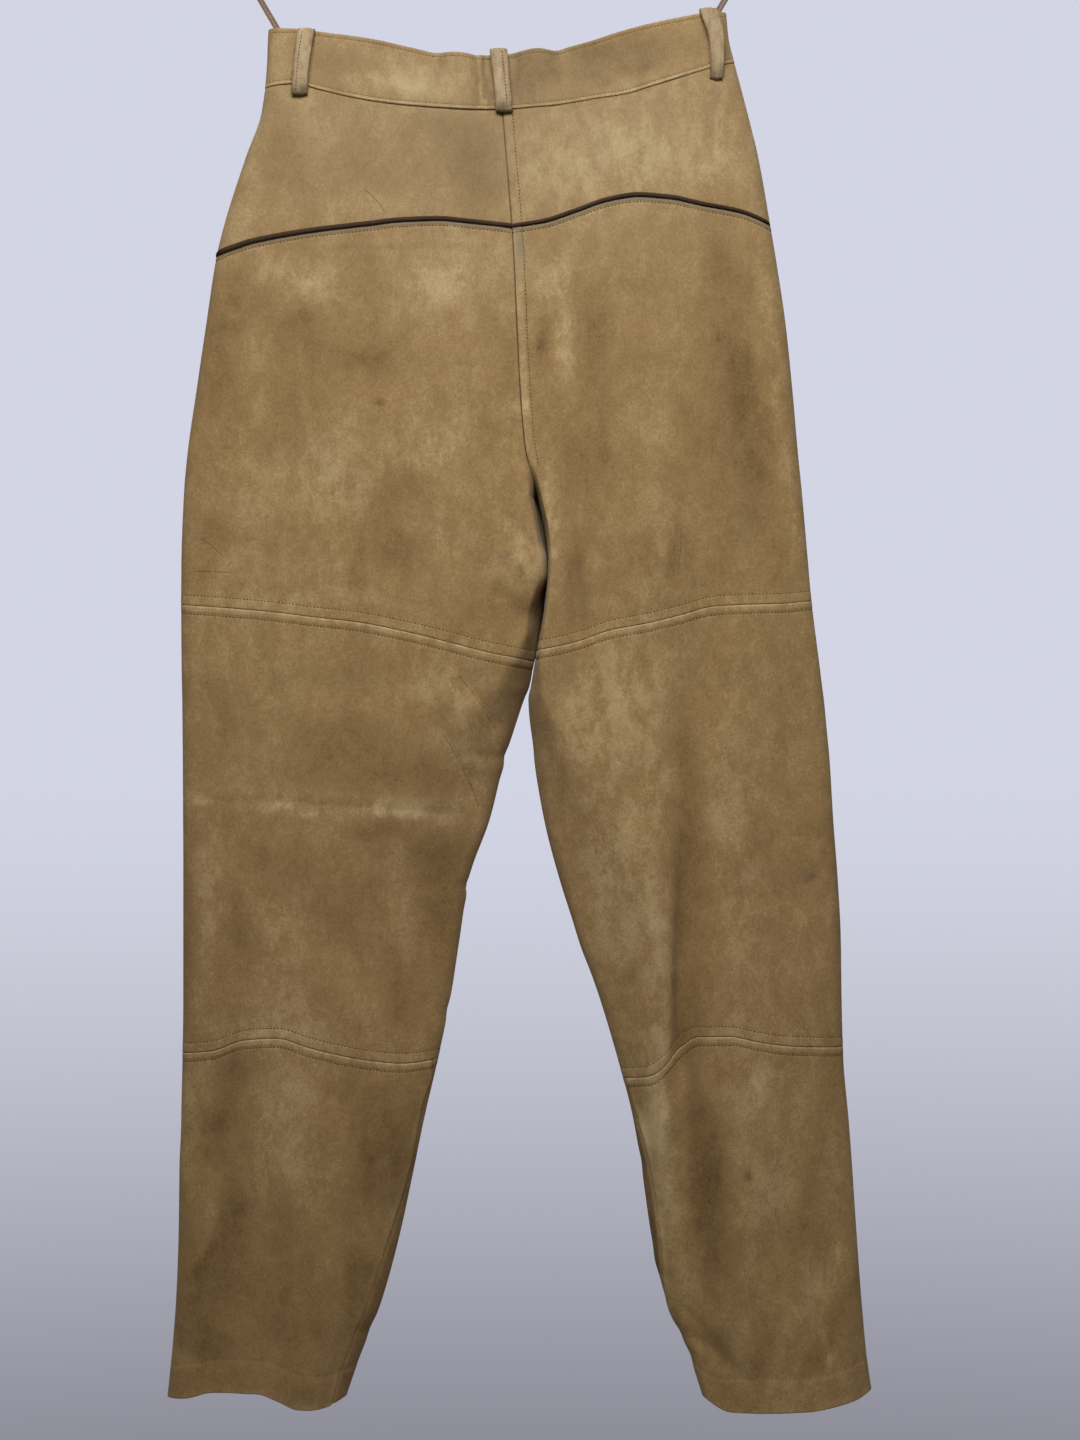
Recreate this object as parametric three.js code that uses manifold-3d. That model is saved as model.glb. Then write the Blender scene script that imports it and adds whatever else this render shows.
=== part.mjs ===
// Long suede lederhosen hung by two hanger loops from a moulded hanger.
// Millimetres, +Z up. The origin is where the hook rests on its rail. The back of the trousers faces -Y,
// and the wearer's right leg is on +X.
import * as THREE from 'three';
import { mergeVertices } from 'three/addons/utils/BufferGeometryUtils.js';
import Module from 'manifold-3d';

const wasm = await Module();
wasm.setup();

// ---- driving sizes ----
const waistHeight = -190; // height of the right waist corner; every drop is measured down from it
const suedeThick = 1.6;
const bandThick = 2.4;
const seamGap = 0.25; // half of the gap between two pieces at an upright seam
const crossGap = 0.3; // the same at a cross seam, which slopes
const liftGap = 0.3; // gap under a piece that lies on the cloth
const crotchStart = 300; // drop at which the centre seams begin to turn under
const crotchDrop = 411; // drop of the crotch point
const foldReach = 13; // width over which a side fold rounds over

// Cross-sections from the waist down: where each half's edges lie, how far its back and front stand out,
// and how much of that is the side fold's rounding. Above the crotch both inner edges are the centre seam.
const sectionColumns = [
  'drop', 'leftOuter', 'leftInner', 'rightInner', 'rightOuter', 'back', 'front', 'fold',
];
const sections = [
  [0, -166.5, 4, 4, 175.5, 10, 9, 7],
  [20, -168, 5.2, 5.2, 177.5, 11, 10, 7],
  [40, -168.8, 6.4, 6.4, 182.4, 12, 11, 7],
  [75, -172.8, 8.3, 8.3, 191.5, 16, 14, 8],
  [110, -185, 11.1, 11.1, 200, 20, 17, 8],
  [160, -200.9, 15.2, 15.2, 208.8, 25, 21, 9],
  [185, -206.9, 16.9, 16.9, 213, 27, 22, 9],
  [235, -214.5, 19.2, 19.2, 220.4, 30, 24, 9],
  [290, -222.6, 22, 22, 226, 32, 26, 9],
  [330, -228.3, 25.5, 25.5, 229.5, 33, 28, 9],
  [360, -231, 33, 33, 232.5, 34, 29, 9],
  [411, -233, 42, 42, 237, 35, 31, 9],
  [440, -233.2, 40, 40, 239.6, 35, 32, 9],
  [490, -232.9, 31.5, 31.5, 245.8, 34, 33, 9],
  [506, -232.6, 28.4, 28.8, 247.8, 33, 33, 9],
  [515, -232.4, 24.7, 27, 249, 33, 33, 9],
  [538, -232.2, 17, 28.4, 251.2, 33, 33, 9],
  [560, -232, 10, 31, 253.3, 33, 33, 9],
  [605, -231.8, -1.2, 38.6, 256, 32, 33, 9],
  [650, -231.6, -17, 50.2, 259.4, 31, 32, 9],
  [695, -231.6, -24, 65, 261.7, 30, 31, 9],
  [740, -231.6, -31, 80.6, 262.3, 30, 31, 9],
  [785, -232.2, -40.2, 94, 263.6, 29, 30, 9],
  [830, -233.4, -50.6, 105.6, 267.6, 28, 29, 8],
  [875, -234.4, -59.8, 113, 270.9, 27, 28, 8],
  [920, -235.2, -69.6, 119.6, 273.9, 26, 27, 8],
  [965, -237, -82, 130, 277.2, 26, 27, 8],
  [1010, -240.6, -99.4, 148.6, 281.4, 26, 26, 8],
  [1050, -244.6, -113, 161.5, 287.6, 26, 25, 8],
];

// Where the crest of each leg's back and front lies, as a share of the way in from the side seam.
const crestColumns = ['drop', 'leftBack', 'rightBack', 'leftFront', 'rightFront'];
const crests = [
  [411, 0.55, 0.55, 0.55, 0.55],
  [650, 0.55, 0.6, 0.5, 0.52],
  [785, 0.6, 0.62, 0.48, 0.45],
  [920, 0.7, 0.6, 0.45, 0.42],
  [1050, 0.79, 0.58, 0.42, 0.42],
];

// Drops of the cross seams and edges at equal steps from the side seam (0) to the inner edge (1).
const seams = {
  bandTop: {
    left: [13.5, 14.5, 17.5, 20.5, 24.3, 29.5, 34, 34, 35.5],
    right: [1, 3.5, 7.5, 12.5, 18.5, 25.5, 30.5, 32, 35.5],
  },
  bandBottom: {
    left: [57.5, 56, 61.5, 67, 71, 73.6, 75.4, 76.6, 77],
    right: [38.5, 45, 51.3, 58.4, 65.2, 69, 73, 75.5, 77],
  },
  piping: {
    left: [184.5, 175.5, 170.5, 167, 164.3, 161.6, 161, 163.5, 167],
    right: [162, 152.8, 149, 144.4, 142.8, 146.8, 155.3, 163.4, 167],
  },
  thigh: {
    left: [445, 447.6, 450.7, 455, 459.7, 466.7, 475, 485, 486],
    right: [442, 444.6, 445.5, 447, 453.8, 460, 465, 474.2, 480],
  },
  knee: {
    left: [780, 777.3, 768.5, 766.5, 773, 779, 783.5, 786, 784],
    right: [775.5, 774.5, 773, 769.5, 765, 765.3, 780.3, 794.8, 798.8],
  },
  hem: {
    left: [1038, 1036, 1031, 1030, 1030, 1035, 1041, 1042, 1037],
    right: [1032, 1038, 1041, 1043, 1043.5, 1044, 1045, 1046, 1037],
  },
};

// The largest folds: a soft trough (negative rise) or ridge along a line from (x, drop) to (x, drop).
const foldColumns = ['leg', 'face', 'x1', 'drop1', 'x2', 'drop2', 'width', 'rise'];
const folds = [
  ['right', 'back', 146, 470, 148, 660, 17, -3],
  ['right', 'back', 148, 640, 142, 800, 12, -7],
  ['right', 'back', 142, 780, 157, 930, 12, -6],
  ['right', 'back', 157, 910, 158, 1050, 14, -3],
  ['right', 'back', 114, 600, 122, 860, 16, 4],
  ['left', 'back', -16, 500, 2, 540, 9, -3],
  ['left', 'back', -38, 530, -12, 610, 10, -3],
  ['left', 'back', -178, 790, -214, 880, 18, -3],
  ['left', 'back', -150, 860, -140, 1040, 12, 3],
  ['right', 'front', 150, 560, 160, 790, 16, -5],
  ['right', 'front', 160, 780, 190, 1000, 16, -4],
  ['left', 'front', -120, 580, -130, 800, 16, -5],
  ['left', 'front', -130, 800, -165, 1000, 16, -4],
  ['left', 'front', -60, 120, -90, 250, 18, -2.5],
  ['right', 'front', 110, 110, 130, 250, 18, -2.5],
];

// Columns of points across one face: close together where the side folds round over.
const edgeSteps = [0, 0.008, 0.028, 0.065];
const middleSteps = 10;
const rowCounts = { yoke: 4, seat: 12, frontTop: 14, knee: 8, calf: 7, band: 3 };

// ---- interpolation ----
const named = (columns, row) => Object.fromEntries(columns.map((name, i) => [name, row[i]]));
const rowsOf = (columns, rows) => rows.map((row) => named(columns, row));
const sectionRows = rowsOf(sectionColumns, sections);
const crestRows = rowsOf(crestColumns, crests);
const foldRows = rowsOf(foldColumns, folds);

const clamp = (value, low, high) => Math.min(high, Math.max(low, value));
const mix = (a, b, t) => a + (b - a) * t;
const smooth = (t) => {
  const c = clamp(t, 0, 1);
  return c * c * (3 - 2 * c);
};

// A smooth curve through the rows of one column, flat where neighbouring slopes disagree.
function curve(rows, column, at) {
  const last = rows.length - 1;
  const d = clamp(at, rows[0].drop, rows[last].drop);
  let i = 0;
  while (i < last - 1 && d > rows[i + 1].drop) i += 1;
  const slope = (k) => {
    if (k < 0 || k >= last) return null;
    return (rows[k + 1][column] - rows[k][column]) / (rows[k + 1].drop - rows[k].drop);
  };
  const tangent = (k) => {
    const before = slope(k - 1);
    const after = slope(k);
    if (before === null) return after;
    if (after === null) return before;
    return before * after <= 0 ? 0 : (2 * before * after) / (before + after);
  };
  const width = rows[i + 1].drop - rows[i].drop;
  const t = (d - rows[i].drop) / width;
  const [a, b] = [rows[i][column], rows[i + 1][column]];
  const [ta, tb] = [tangent(i) * width, tangent(i + 1) * width];
  const ends = a * (1 - t) ** 2 * (1 + 2 * t) + b * t ** 2 * (3 - 2 * t);
  return ends + ta * t * (1 - t) ** 2 - tb * t ** 2 * (1 - t);
}

// The drop of a seam at a share of the way across.
function seamDrop(name, side, across) {
  const drops = seams[name][side];
  const rows = drops.map((value, i) => ({ drop: i / (drops.length - 1), value }));
  return curve(rows, 'value', across);
}

// ---- the cloth's outer surface ----
const capital = (word) => word[0].toUpperCase() + word.slice(1);

// How far the centre edge has turned under at this drop: 0 on the flat seat, 1 from the crotch down.
function closing(face, drop) {
  const start = face === 'back' ? crotchStart : crotchStart + 25;
  const t = clamp((drop - start) / (crotchDrop - start), 0, 1);
  return 1 - Math.sqrt(1 - t * t);
}

// Rounding of a side fold, from 0 on the fold to 1 where the face is flat.
const foldRound = (distance) => Math.sqrt(1 - (1 - clamp(distance / foldReach, 0, 1)) ** 2);

function foldLift(side, face, x, drop) {
  let lift = 0;
  for (const fold of foldRows) {
    if (fold.leg !== side || fold.face !== face) continue;
    const [dx, dd] = [fold.x2 - fold.x1, fold.drop2 - fold.drop1];
    const length = Math.hypot(dx, dd);
    const along = ((x - fold.x1) * dx + (drop - fold.drop1) * dd) / length;
    const off = ((x - fold.x1) * dd - (drop - fold.drop1) * dx) / length;
    const end = Math.min(along, length - along) / (length * 0.35) + 0.5;
    lift += fold.rise * smooth(end) * Math.exp(-((off / fold.width) ** 2));
  }
  return lift;
}

function edgesAt(side, drop) {
  const outer = curve(sectionRows, side + 'Outer', drop);
  const inner = curve(sectionRows, side + 'Inner', drop);
  const inward = side === 'left' ? 1 : -1;
  return { outer, inner: inner - inward * seamGap, inward };
}

// A point of the outer surface: across runs from the side seam (0) to the centre or inseam (1).
function clothPoint(side, face, across, drop) {
  const { outer, inner } = edgesAt(side, drop);
  const width = Math.abs(inner - outer);
  const x = mix(outer, inner, across);
  const shut = closing(face, drop);
  const depth = curve(sectionRows, face, drop);
  const fold = curve(sectionRows, 'fold', drop);
  const crest = mix(1, curve(crestRows, side + capital(face), drop), shut);
  const inside = clamp(across, 0, 1);
  const rising = Math.sin((Math.PI / 2) * Math.min(inside / crest, 1));
  const falling = crest < 1 && inside > crest ? Math.sin(((Math.PI / 2) * (1 - inside)) / (1 - crest)) : 1;
  const innerRound = mix(1, foldRound(width * (1 - inside)), shut);
  const bulge = rising * mix(1, falling, shut);
  const edge = foldRound(width * inside) * innerRound;
  const out = fold * edge + (depth - fold) * bulge + foldLift(side, face, x, drop) * edge * smooth(bulge * 2);
  const sign = face === 'back' ? -1 : 1;
  return new THREE.Vector3(x, sign * out, waistHeight - drop);
}

// Outward direction of the surface at a point; straight sideways on the folds that two faces share.
function clothNormal(side, face, across, drop) {
  const { inward } = edgesAt(side, drop);
  const shut = closing(face, drop);
  const sign = face === 'back' ? -1 : 1;
  if (across <= 0) return new THREE.Vector3(-inward, 0, 0);
  if (across >= 1) return new THREE.Vector3(inward * shut ** 0.4, sign * (1 - shut), 0).normalize();
  const [stepAcross, stepDrop] = [0.004, 2];
  const right = clothPoint(side, face, Math.min(across + stepAcross, 1), drop);
  const left = clothPoint(side, face, Math.max(across - stepAcross, 0), drop);
  const low = clothPoint(side, face, across, drop + stepDrop);
  const high = clothPoint(side, face, across, drop - stepDrop);
  const normal = right.sub(left).cross(high.sub(low)).normalize();
  return normal.y * sign < 0 ? normal.negate() : normal;
}

// A point lifted off the cloth, by x and drop, for what lies on either half.
function onCloth(face, x, drop, lift) {
  const centre = curve(sectionRows, 'leftInner', drop);
  const side = x < centre ? 'left' : 'right';
  const { outer, inner } = edgesAt(side, drop);
  const across = clamp((x - outer) / (inner - outer), 0.0001, 0.9999);
  const point = clothPoint(side, face, across, drop);
  return point.addScaledVector(clothNormal(side, face, across, drop), lift);
}

// ---- solids ----
// A closed wall from an outer and an inner grid of points with the same rows and columns.
function wallGeometry(outerGrid, innerGrid) {
  const [rows, columns] = [outerGrid.length, outerGrid[0].length];
  const points = [...outerGrid.flat(), ...innerGrid.flat()];
  const inner = rows * columns;
  const faces = [];
  const quad = (a, b, c, d) => faces.push(a, b, c, a, c, d);
  for (let r = 0; r < rows - 1; r += 1) {
    for (let c = 0; c < columns - 1; c += 1) {
      const a = r * columns + c;
      quad(a, a + columns, a + columns + 1, a + 1);
      quad(inner + a, inner + a + 1, inner + a + columns + 1, inner + a + columns);
    }
  }
  const bottom = (rows - 1) * columns;
  for (let c = 0; c < columns - 1; c += 1) {
    quad(c, c + 1, inner + c + 1, inner + c);
    quad(bottom + c + 1, bottom + c, inner + bottom + c, inner + bottom + c + 1);
  }
  for (let r = 0; r < rows - 1; r += 1) {
    const a = r * columns;
    const b = a + columns - 1;
    quad(a + columns, a, inner + a, inner + a + columns);
    quad(b, b + columns, inner + b + columns, inner + b);
  }
  return facingOut(points, faces);
}

// Geometry with its faces turned outwards, whichever way the grid ran.
function facingOut(points, faces) {
  let volume = 0;
  for (let i = 0; i < faces.length; i += 3) {
    const [a, b, c] = [points[faces[i]], points[faces[i + 1]], points[faces[i + 2]]];
    volume += a.dot(b.clone().cross(c));
  }
  if (volume < 0) faces.reverse();
  const geometry = new THREE.BufferGeometry();
  geometry.setAttribute('position', new THREE.Float32BufferAttribute(points.flatMap((p) => p.toArray()), 3));
  geometry.setIndex(faces);
  return geometry;
}

// Shares across one face, closing up towards the side fold and, on a leg, the inseam.
function acrossSteps() {
  const edge = edgeSteps[edgeSteps.length - 1];
  const middle = [];
  for (let i = 1; i < middleSteps; i += 1) middle.push(mix(edge, 1 - edge, i / middleSteps));
  return [...edgeSteps, ...middle, ...edgeSteps.map((step) => 1 - step).reverse()];
}

// One cut piece of suede between two seams of one face.
function panel(side, face, topSeam, bottomSeam, rowCount) {
  const sign = face === 'back' ? -1 : 1;
  const outerGrid = [];
  const innerGrid = [];
  for (let r = 0; r <= rowCount; r += 1) {
    const outerRow = [];
    const innerRow = [];
    for (const across of acrossSteps()) {
      const top = seamDrop(topSeam, side, across) + crossGap;
      const bottom = seamDrop(bottomSeam, side, across) - (bottomSeam === 'hem' ? 0 : crossGap);
      const drop = mix(top, bottom, r / rowCount);
      const point = clothPoint(side, face, across, drop);
      point.y += sign * seamGap;
      outerRow.push(point);
      innerRow.push(point.clone().addScaledVector(clothNormal(side, face, across, drop), -suedeThick));
    }
    outerGrid.push(outerRow);
    innerGrid.push(innerRow);
  }
  return wallGeometry(outerGrid, innerGrid);
}

// Half of the waistband, from the centre back round the side to the centre front. The right half runs on
// past the centre front as a tab over the left half.
const tab = { length: 30, ramp: 10, steps: 4 };

function waistband(side) {
  const steps = acrossSteps();
  const stations = [...[...steps].reverse().map((across) => ['back', across]),
    ...steps.slice(1).map((across) => ['front', across])];
  const outerGrid = [];
  const innerGrid = [];
  for (let r = 0; r <= rowCounts.band; r += 1) {
    const outerRow = [];
    const innerRow = [];
    const add = (point, normal) => {
      outerRow.push(point);
      innerRow.push(point.clone().addScaledVector(normal, -bandThick));
    };
    for (const [face, across] of stations) {
      const drop = bandRowDrop(side, across, r);
      const point = clothPoint(side, face, across, drop);
      const normal = clothNormal(side, face, across, drop);
      if (side === 'right' && face === 'front') {
        const { inner } = edgesAt(side, drop);
        const lift = (bandThick + liftGap) * smooth(1 - (Math.abs(point.x - inner) - 1) / tab.ramp);
        point.addScaledVector(normal, lift);
      }
      add(point, normal);
    }
    if (side === 'right') {
      for (let i = 1; i <= tab.steps; i += 1) {
        const past = (tab.length * i) / tab.steps;
        const across = 1 - past / Math.abs(edgesAt('left', 40).inner - edgesAt('left', 40).outer);
        const drop = bandRowDrop('left', across, r);
        const normal = clothNormal('left', 'front', across, drop);
        add(clothPoint('left', 'front', across, drop).addScaledVector(normal, bandThick + liftGap), normal);
      }
    }
    outerGrid.push(outerRow);
    innerGrid.push(innerRow);
  }
  return wallGeometry(outerGrid, innerGrid);
}

function bandRowDrop(side, across, row) {
  const bottom = seamDrop('bandBottom', side, across) - seamGap;
  return mix(seamDrop('bandTop', side, across), bottom, row / rowCounts.band);
}

// A strip that follows a line over the cloth; each stop has its x, drop, width and height off the cloth.
function strip(face, line, thick, columns) {
  const outerGrid = [];
  const innerGrid = [];
  for (const stop of line) {
    const outerRow = [];
    const innerRow = [];
    for (let c = 0; c <= columns; c += 1) {
      const x = stop.x + stop.width * (c / columns - 0.5);
      outerRow.push(onCloth(face, x, stop.drop, stop.lift + thick));
      innerRow.push(onCloth(face, x, stop.drop, stop.lift));
    }
    outerGrid.push(outerRow);
    innerGrid.push(innerRow);
  }
  return wallGeometry(outerGrid, innerGrid);
}

// ---- belt loops ----
const beltLoop = { width: 12, thick: 1.5, steps: 8 };

// Where each starts and ends, and how far its middle stands off the band.
const beltLoops = [
  { name: 'belt_loop_centre', face: 'back', x: 5, top: 32.5, footX: 9.5, foot: 80, stand: 2.6 },
  { name: 'belt_loop_back_left', face: 'back', x: -138, top: 15.5, footX: -143, foot: 66, stand: 2.4 },
  { name: 'belt_loop_back_right', face: 'back', x: 161.5, top: 1, footX: 169.5, foot: 54, stand: 3.6 },
  { name: 'belt_loop_front_left', face: 'front', x: -92, top: 20, footX: -94, foot: 73, stand: 3 },
  { name: 'belt_loop_front_right', face: 'front', x: 104, top: 15, footX: 107, foot: 66, stand: 3 },
];

function beltLoopGeometry(loop) {
  const line = [];
  for (let i = 0; i <= beltLoop.steps; i += 1) {
    const t = i / beltLoop.steps;
    const lift = 1.5 * liftGap + loop.stand * Math.sin(Math.PI * t) ** 0.6;
    const [x, drop] = [mix(loop.x, loop.footX, t), mix(loop.top, loop.foot, t)];
    line.push({ x, drop, width: beltLoop.width, lift });
  }
  return strip(loop.face, line, beltLoop.thick, 2);
}

// ---- piping: a corded edge let into the yoke seam, half sunk in the gap above the seat panel ----
const piping = { radius: 1.7, sides: 6, lift: 2.1, ends: 0.012 };

function pipingGeometry(side) {
  const points = [];
  const rings = acrossSteps().map((across) => clamp(across, piping.ends, 1 - 0.004));
  const stations = rings.filter((across, i) => i === 0 || across !== rings[i - 1]);
  for (const across of stations) {
    const drop = seamDrop('piping', side, across);
    const normal = clothNormal(side, 'back', across, drop);
    const centre = clothPoint(side, 'back', across, drop).addScaledVector(normal, piping.lift);
    const down = new THREE.Vector3(0, 0, -1).addScaledVector(normal, normal.z).normalize();
    for (let k = 0; k < piping.sides; k += 1) {
      const angle = (2 * Math.PI * k) / piping.sides;
      const offset = normal.clone().multiplyScalar(Math.cos(angle)).addScaledVector(down, Math.sin(angle));
      points.push(centre.clone().addScaledVector(offset, piping.radius));
    }
  }
  return tubeFaces(points, piping.sides);
}

// Faces of a tube whose rings of points follow each other, with both ends capped.
function tubeFaces(points, sides) {
  const rings = points.length / sides;
  const faces = [];
  for (let r = 0; r < rings - 1; r += 1) {
    for (let k = 0; k < sides; k += 1) {
      const [a, b] = [r * sides + k, r * sides + ((k + 1) % sides)];
      faces.push(a, b, b + sides, a, b + sides, a + sides);
    }
  }
  const end = (rings - 1) * sides;
  for (let k = 1; k < sides - 1; k += 1) {
    faces.push(0, k + 1, k);
    faces.push(end, end + k, end + k + 1);
  }
  return facingOut(points, faces);
}

// ---- fly lap over the centre front, with a curved foot, and the waist button ----
const flyLap = { width: 36, past: 5, top: 78.5, length: 165, curveLength: 34, thick: 1.3, steps: 12 };

function flyLapGeometry() {
  const line = [];
  for (let i = 0; i <= flyLap.steps; i += 1) {
    const share = 1 - (1 - i / flyLap.steps) ** 1.4;
    const drop = flyLap.top + flyLap.length * share;
    const left = flyLap.top + flyLap.length - drop;
    const round = Math.sqrt(1 - (1 - clamp(left / flyLap.curveLength, 0.02, 1)) ** 2);
    const width = (flyLap.width + flyLap.past) * (0.1 + 0.9 * round);
    const start = curve(sectionRows, 'leftInner', drop) - flyLap.past;
    line.push({ x: start + width / 2, drop, lift: liftGap + seamGap, width });
  }
  return strip('front', line, flyLap.thick, 5);
}

const button = { radius: 8.5, thick: 3.2, rim: 1, dish: 0.6, x: -12, drop: 56, sides: 24 };

function buttonMesh(material) {
  const { radius, thick, rim, dish } = button;
  const profile = [
    [0, 0], [radius - rim, 0], [radius, rim], [radius, thick - rim],
    [radius - rim, thick], [radius - 2.5 * rim, thick - dish], [0, thick - dish],
  ];
  const geometry = new THREE.LatheGeometry(profile.map(([r, h]) => new THREE.Vector2(r, h)), button.sides);
  const mesh = new THREE.Mesh(geometry, material);
  const normal = clothNormal('left', 'front', 0.93, button.drop);
  mesh.position.copy(onCloth('front', button.x, button.drop, bandThick + 2 * liftGap + 0.1));
  mesh.quaternion.setFromUnitVectors(new THREE.Vector3(0, 1, 0), normal);
  mesh.name = 'waist_button';
  return mesh;
}

// ---- hanger: one moulding, arms sloping to a notch near each tip, with a fixed hook ----
const hanger = {
  tilt: 0.033, reach: 219, notch: 205, notchDepth: 3, notchHalf: 5, neck: -62, slope: 63, bend: 1.25,
  height: 17, tipHeight: 11, thick: 8, bevel: 2, hookRadius: 21, hookThick: 6, hookSides: 10,
};

const armTop = (x) => hanger.neck - hanger.slope * (Math.abs(x) / hanger.notch) ** hanger.bend;

function hangerGeometry() {
  const stops = [0, 30, 70, 115, 160, 190];
  const { notch, notchHalf, notchDepth } = hanger;
  const top = [...stops, notch - notchHalf, notch, notch + notchHalf, hanger.reach];
  const upper = top.map((x) => {
    const cut = x === notch ? notchDepth : 0;
    return new THREE.Vector2(x, armTop(x) - hanger.bevel - cut);
  });
  const lower = [hanger.reach, 190, 115, 55, 0].map((x) => {
    const height = mix(hanger.height, hanger.tipHeight, x / hanger.reach);
    return new THREE.Vector2(x - (x === hanger.reach ? 4 : 0), armTop(x) - height + hanger.bevel);
  });
  const right = [...upper, ...lower];
  const left = right.filter((p) => p.x > 0).map((p) => new THREE.Vector2(-p.x, p.y)).reverse();
  const shape = new THREE.Shape([...right, ...left]);
  const depth = hanger.thick - 2 * hanger.bevel;
  const arms = new THREE.ExtrudeGeometry(shape, {
    depth, bevelThickness: hanger.bevel, bevelSize: hanger.bevel, bevelSegments: 1, steps: 1,
  });
  arms.translate(0, 0, -depth / 2);
  arms.rotateX(Math.PI / 2);

  const wire = hanger.hookThick / 2;
  const ring = hanger.hookRadius + wire;
  const hookPoints = [[0, hanger.neck - 6], [0, hanger.neck + 6], [5, hanger.neck + 15]];
  for (let degrees = -35; degrees <= 200; degrees += 23.5) {
    const angle = (degrees * Math.PI) / 180;
    hookPoints.push([ring * Math.cos(angle), -hanger.hookRadius + ring * Math.sin(angle)]);
  }
  const path = new THREE.CatmullRomCurve3(hookPoints.map(([x, z]) => new THREE.Vector3(x, 0, z)));
  const round = new THREE.Shape();
  round.absarc(0, 0, wire, 0, 2 * Math.PI);
  const hook = new THREE.ExtrudeGeometry(round, {
    extrudePath: path, steps: 26, curveSegments: hanger.hookSides, bevelEnabled: false,
  });
  return joined(arms, hook).rotateY(-hanger.tilt);
}

const solid = (geometry) => {
  geometry.deleteAttribute('normal');
  geometry.deleteAttribute('uv');
  const merged = mergeVertices(geometry, 1e-4);
  const vertProperties = Float32Array.from(merged.attributes.position.array);
  const triVerts = Uint32Array.from(merged.index.array);
  return new wasm.Manifold(new wasm.Mesh({ numProp: 3, vertProperties, triVerts }));
};

function joined(first, second) {
  const mesh = solid(first).add(solid(second)).getMesh();
  const geometry = new THREE.BufferGeometry();
  geometry.setAttribute('position', new THREE.BufferAttribute(mesh.vertProperties, 3));
  geometry.setIndex([...mesh.triVerts]);
  return geometry;
}

// ---- hanger loops: a narrow tape from inside the band's corner, over the arm's notch and back ----
const tape = { width: 2.2, thick: 0.8, apart: 1.4, inBand: 20, sides: 7 };

function hangLoopGeometry(side) {
  const inward = side === 'left' ? 1 : -1;
  const notchX = -inward * hanger.notch;
  const turn = new THREE.Vector3(notchX, 0, armTop(hanger.notch) - hanger.notchDepth);
  turn.applyAxisAngle(new THREE.Vector3(0, 1, 0), -hanger.tilt);
  const bandTop = seamDrop('bandTop', side, 0.03);
  const leave = new THREE.Vector3(edgesAt(side, bandTop).outer + inward * 6.5, 0, waistHeight - bandTop + 1);
  const rise = turn.clone().sub(leave);
  const length = rise.length();
  rise.normalize();
  const across = new THREE.Vector3(rise.z, 0, -rise.x);
  const gap = hanger.thick / 2 + liftGap + tape.thick / 2;
  const inside = -1.6; // both ends are sewn behind the back of the band
  // Each stop is the way along the rise, the depth, and the step to the side.
  const stops = [
    [-tape.inBand, inside - 0.6, -tape.apart], [-8, inside, -tape.apart], [4, inside, -tape.apart],
    [length - 22, -gap, -tape.apart],
  ];
  for (let k = 0; k <= tape.sides; k += 1) {
    const angle = (Math.PI * k) / tape.sides;
    stops.push([length - 1 + gap * Math.sin(angle), -gap * Math.cos(angle), -tape.apart * Math.cos(angle)]);
  }
  stops.push([length - 22, gap, tape.apart], [4, inside, tape.apart], [-8, inside, tape.apart]);
  stops.push([-tape.inBand, inside - 0.6, tape.apart]);
  const centres = stops.map(([along, y, shift]) =>
    leave.clone().addScaledVector(rise, along).addScaledVector(across, shift).setY(y));
  const points = [];
  centres.forEach((centre, i) => {
    const before = centres[Math.max(i - 1, 0)];
    const after = centres[Math.min(i + 1, centres.length - 1)];
    const forward = after.clone().sub(before).normalize();
    const flat = forward.clone().cross(across).normalize();
    for (const [w, h] of [[1, 1], [-1, 1], [-1, -1], [1, -1]]) {
      const corner = centre.clone().addScaledVector(across, (w * tape.width) / 2);
      points.push(corner.addScaledVector(flat, (h * tape.thick) / 2));
    }
  });
  return tubeFaces(points, 4);
}

// ---- materials ----
const finish = (color, roughness) => new THREE.MeshStandardMaterial({ color, roughness, metalness: 0 });
const suede = finish(0xa98a5c, 0.95);
const loopSuede = finish(0xac987a, 0.95);
const pipingLeather = finish(0x3c2a20, 0.6);
const tapeBrown = finish(0x6e5844, 0.8);
const horn = finish(0x4a3424, 0.35);
const plastic = finish(0x2e2a28, 0.45);

// ---- assembly ----
const trousers = new THREE.Group();
const add = (name, geometry, material) => {
  const mesh = new THREE.Mesh(geometry, material);
  mesh.name = name;
  trousers.add(mesh);
};

for (const side of ['left', 'right']) {
  add(`waistband_${side}`, waistband(side), suede);
  add(`back_yoke_${side}`, panel(side, 'back', 'bandBottom', 'piping', rowCounts.yoke), suede);
  add(`piping_${side}`, pipingGeometry(side), pipingLeather);
  add(`back_thigh_${side}`, panel(side, 'back', 'piping', 'thigh', rowCounts.seat), suede);
  add(`front_top_${side}`, panel(side, 'front', 'bandBottom', 'thigh', rowCounts.frontTop), suede);
  for (const face of ['back', 'front']) {
    add(`${face}_knee_${side}`, panel(side, face, 'thigh', 'knee', rowCounts.knee), suede);
    add(`${face}_calf_${side}`, panel(side, face, 'knee', 'hem', rowCounts.calf), suede);
  }
  add(`hang_loop_${side}`, hangLoopGeometry(side), tapeBrown);
}
for (const loop of beltLoops) add(loop.name, beltLoopGeometry(loop), loopSuede);
add('fly_lap', flyLapGeometry(), suede);
trousers.add(buttonMesh(horn));
add('hanger', hangerGeometry(), plastic);

export default trousers;
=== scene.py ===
import math
import bpy
import bmesh
import numpy as np
from mathutils import Vector, Matrix


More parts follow.
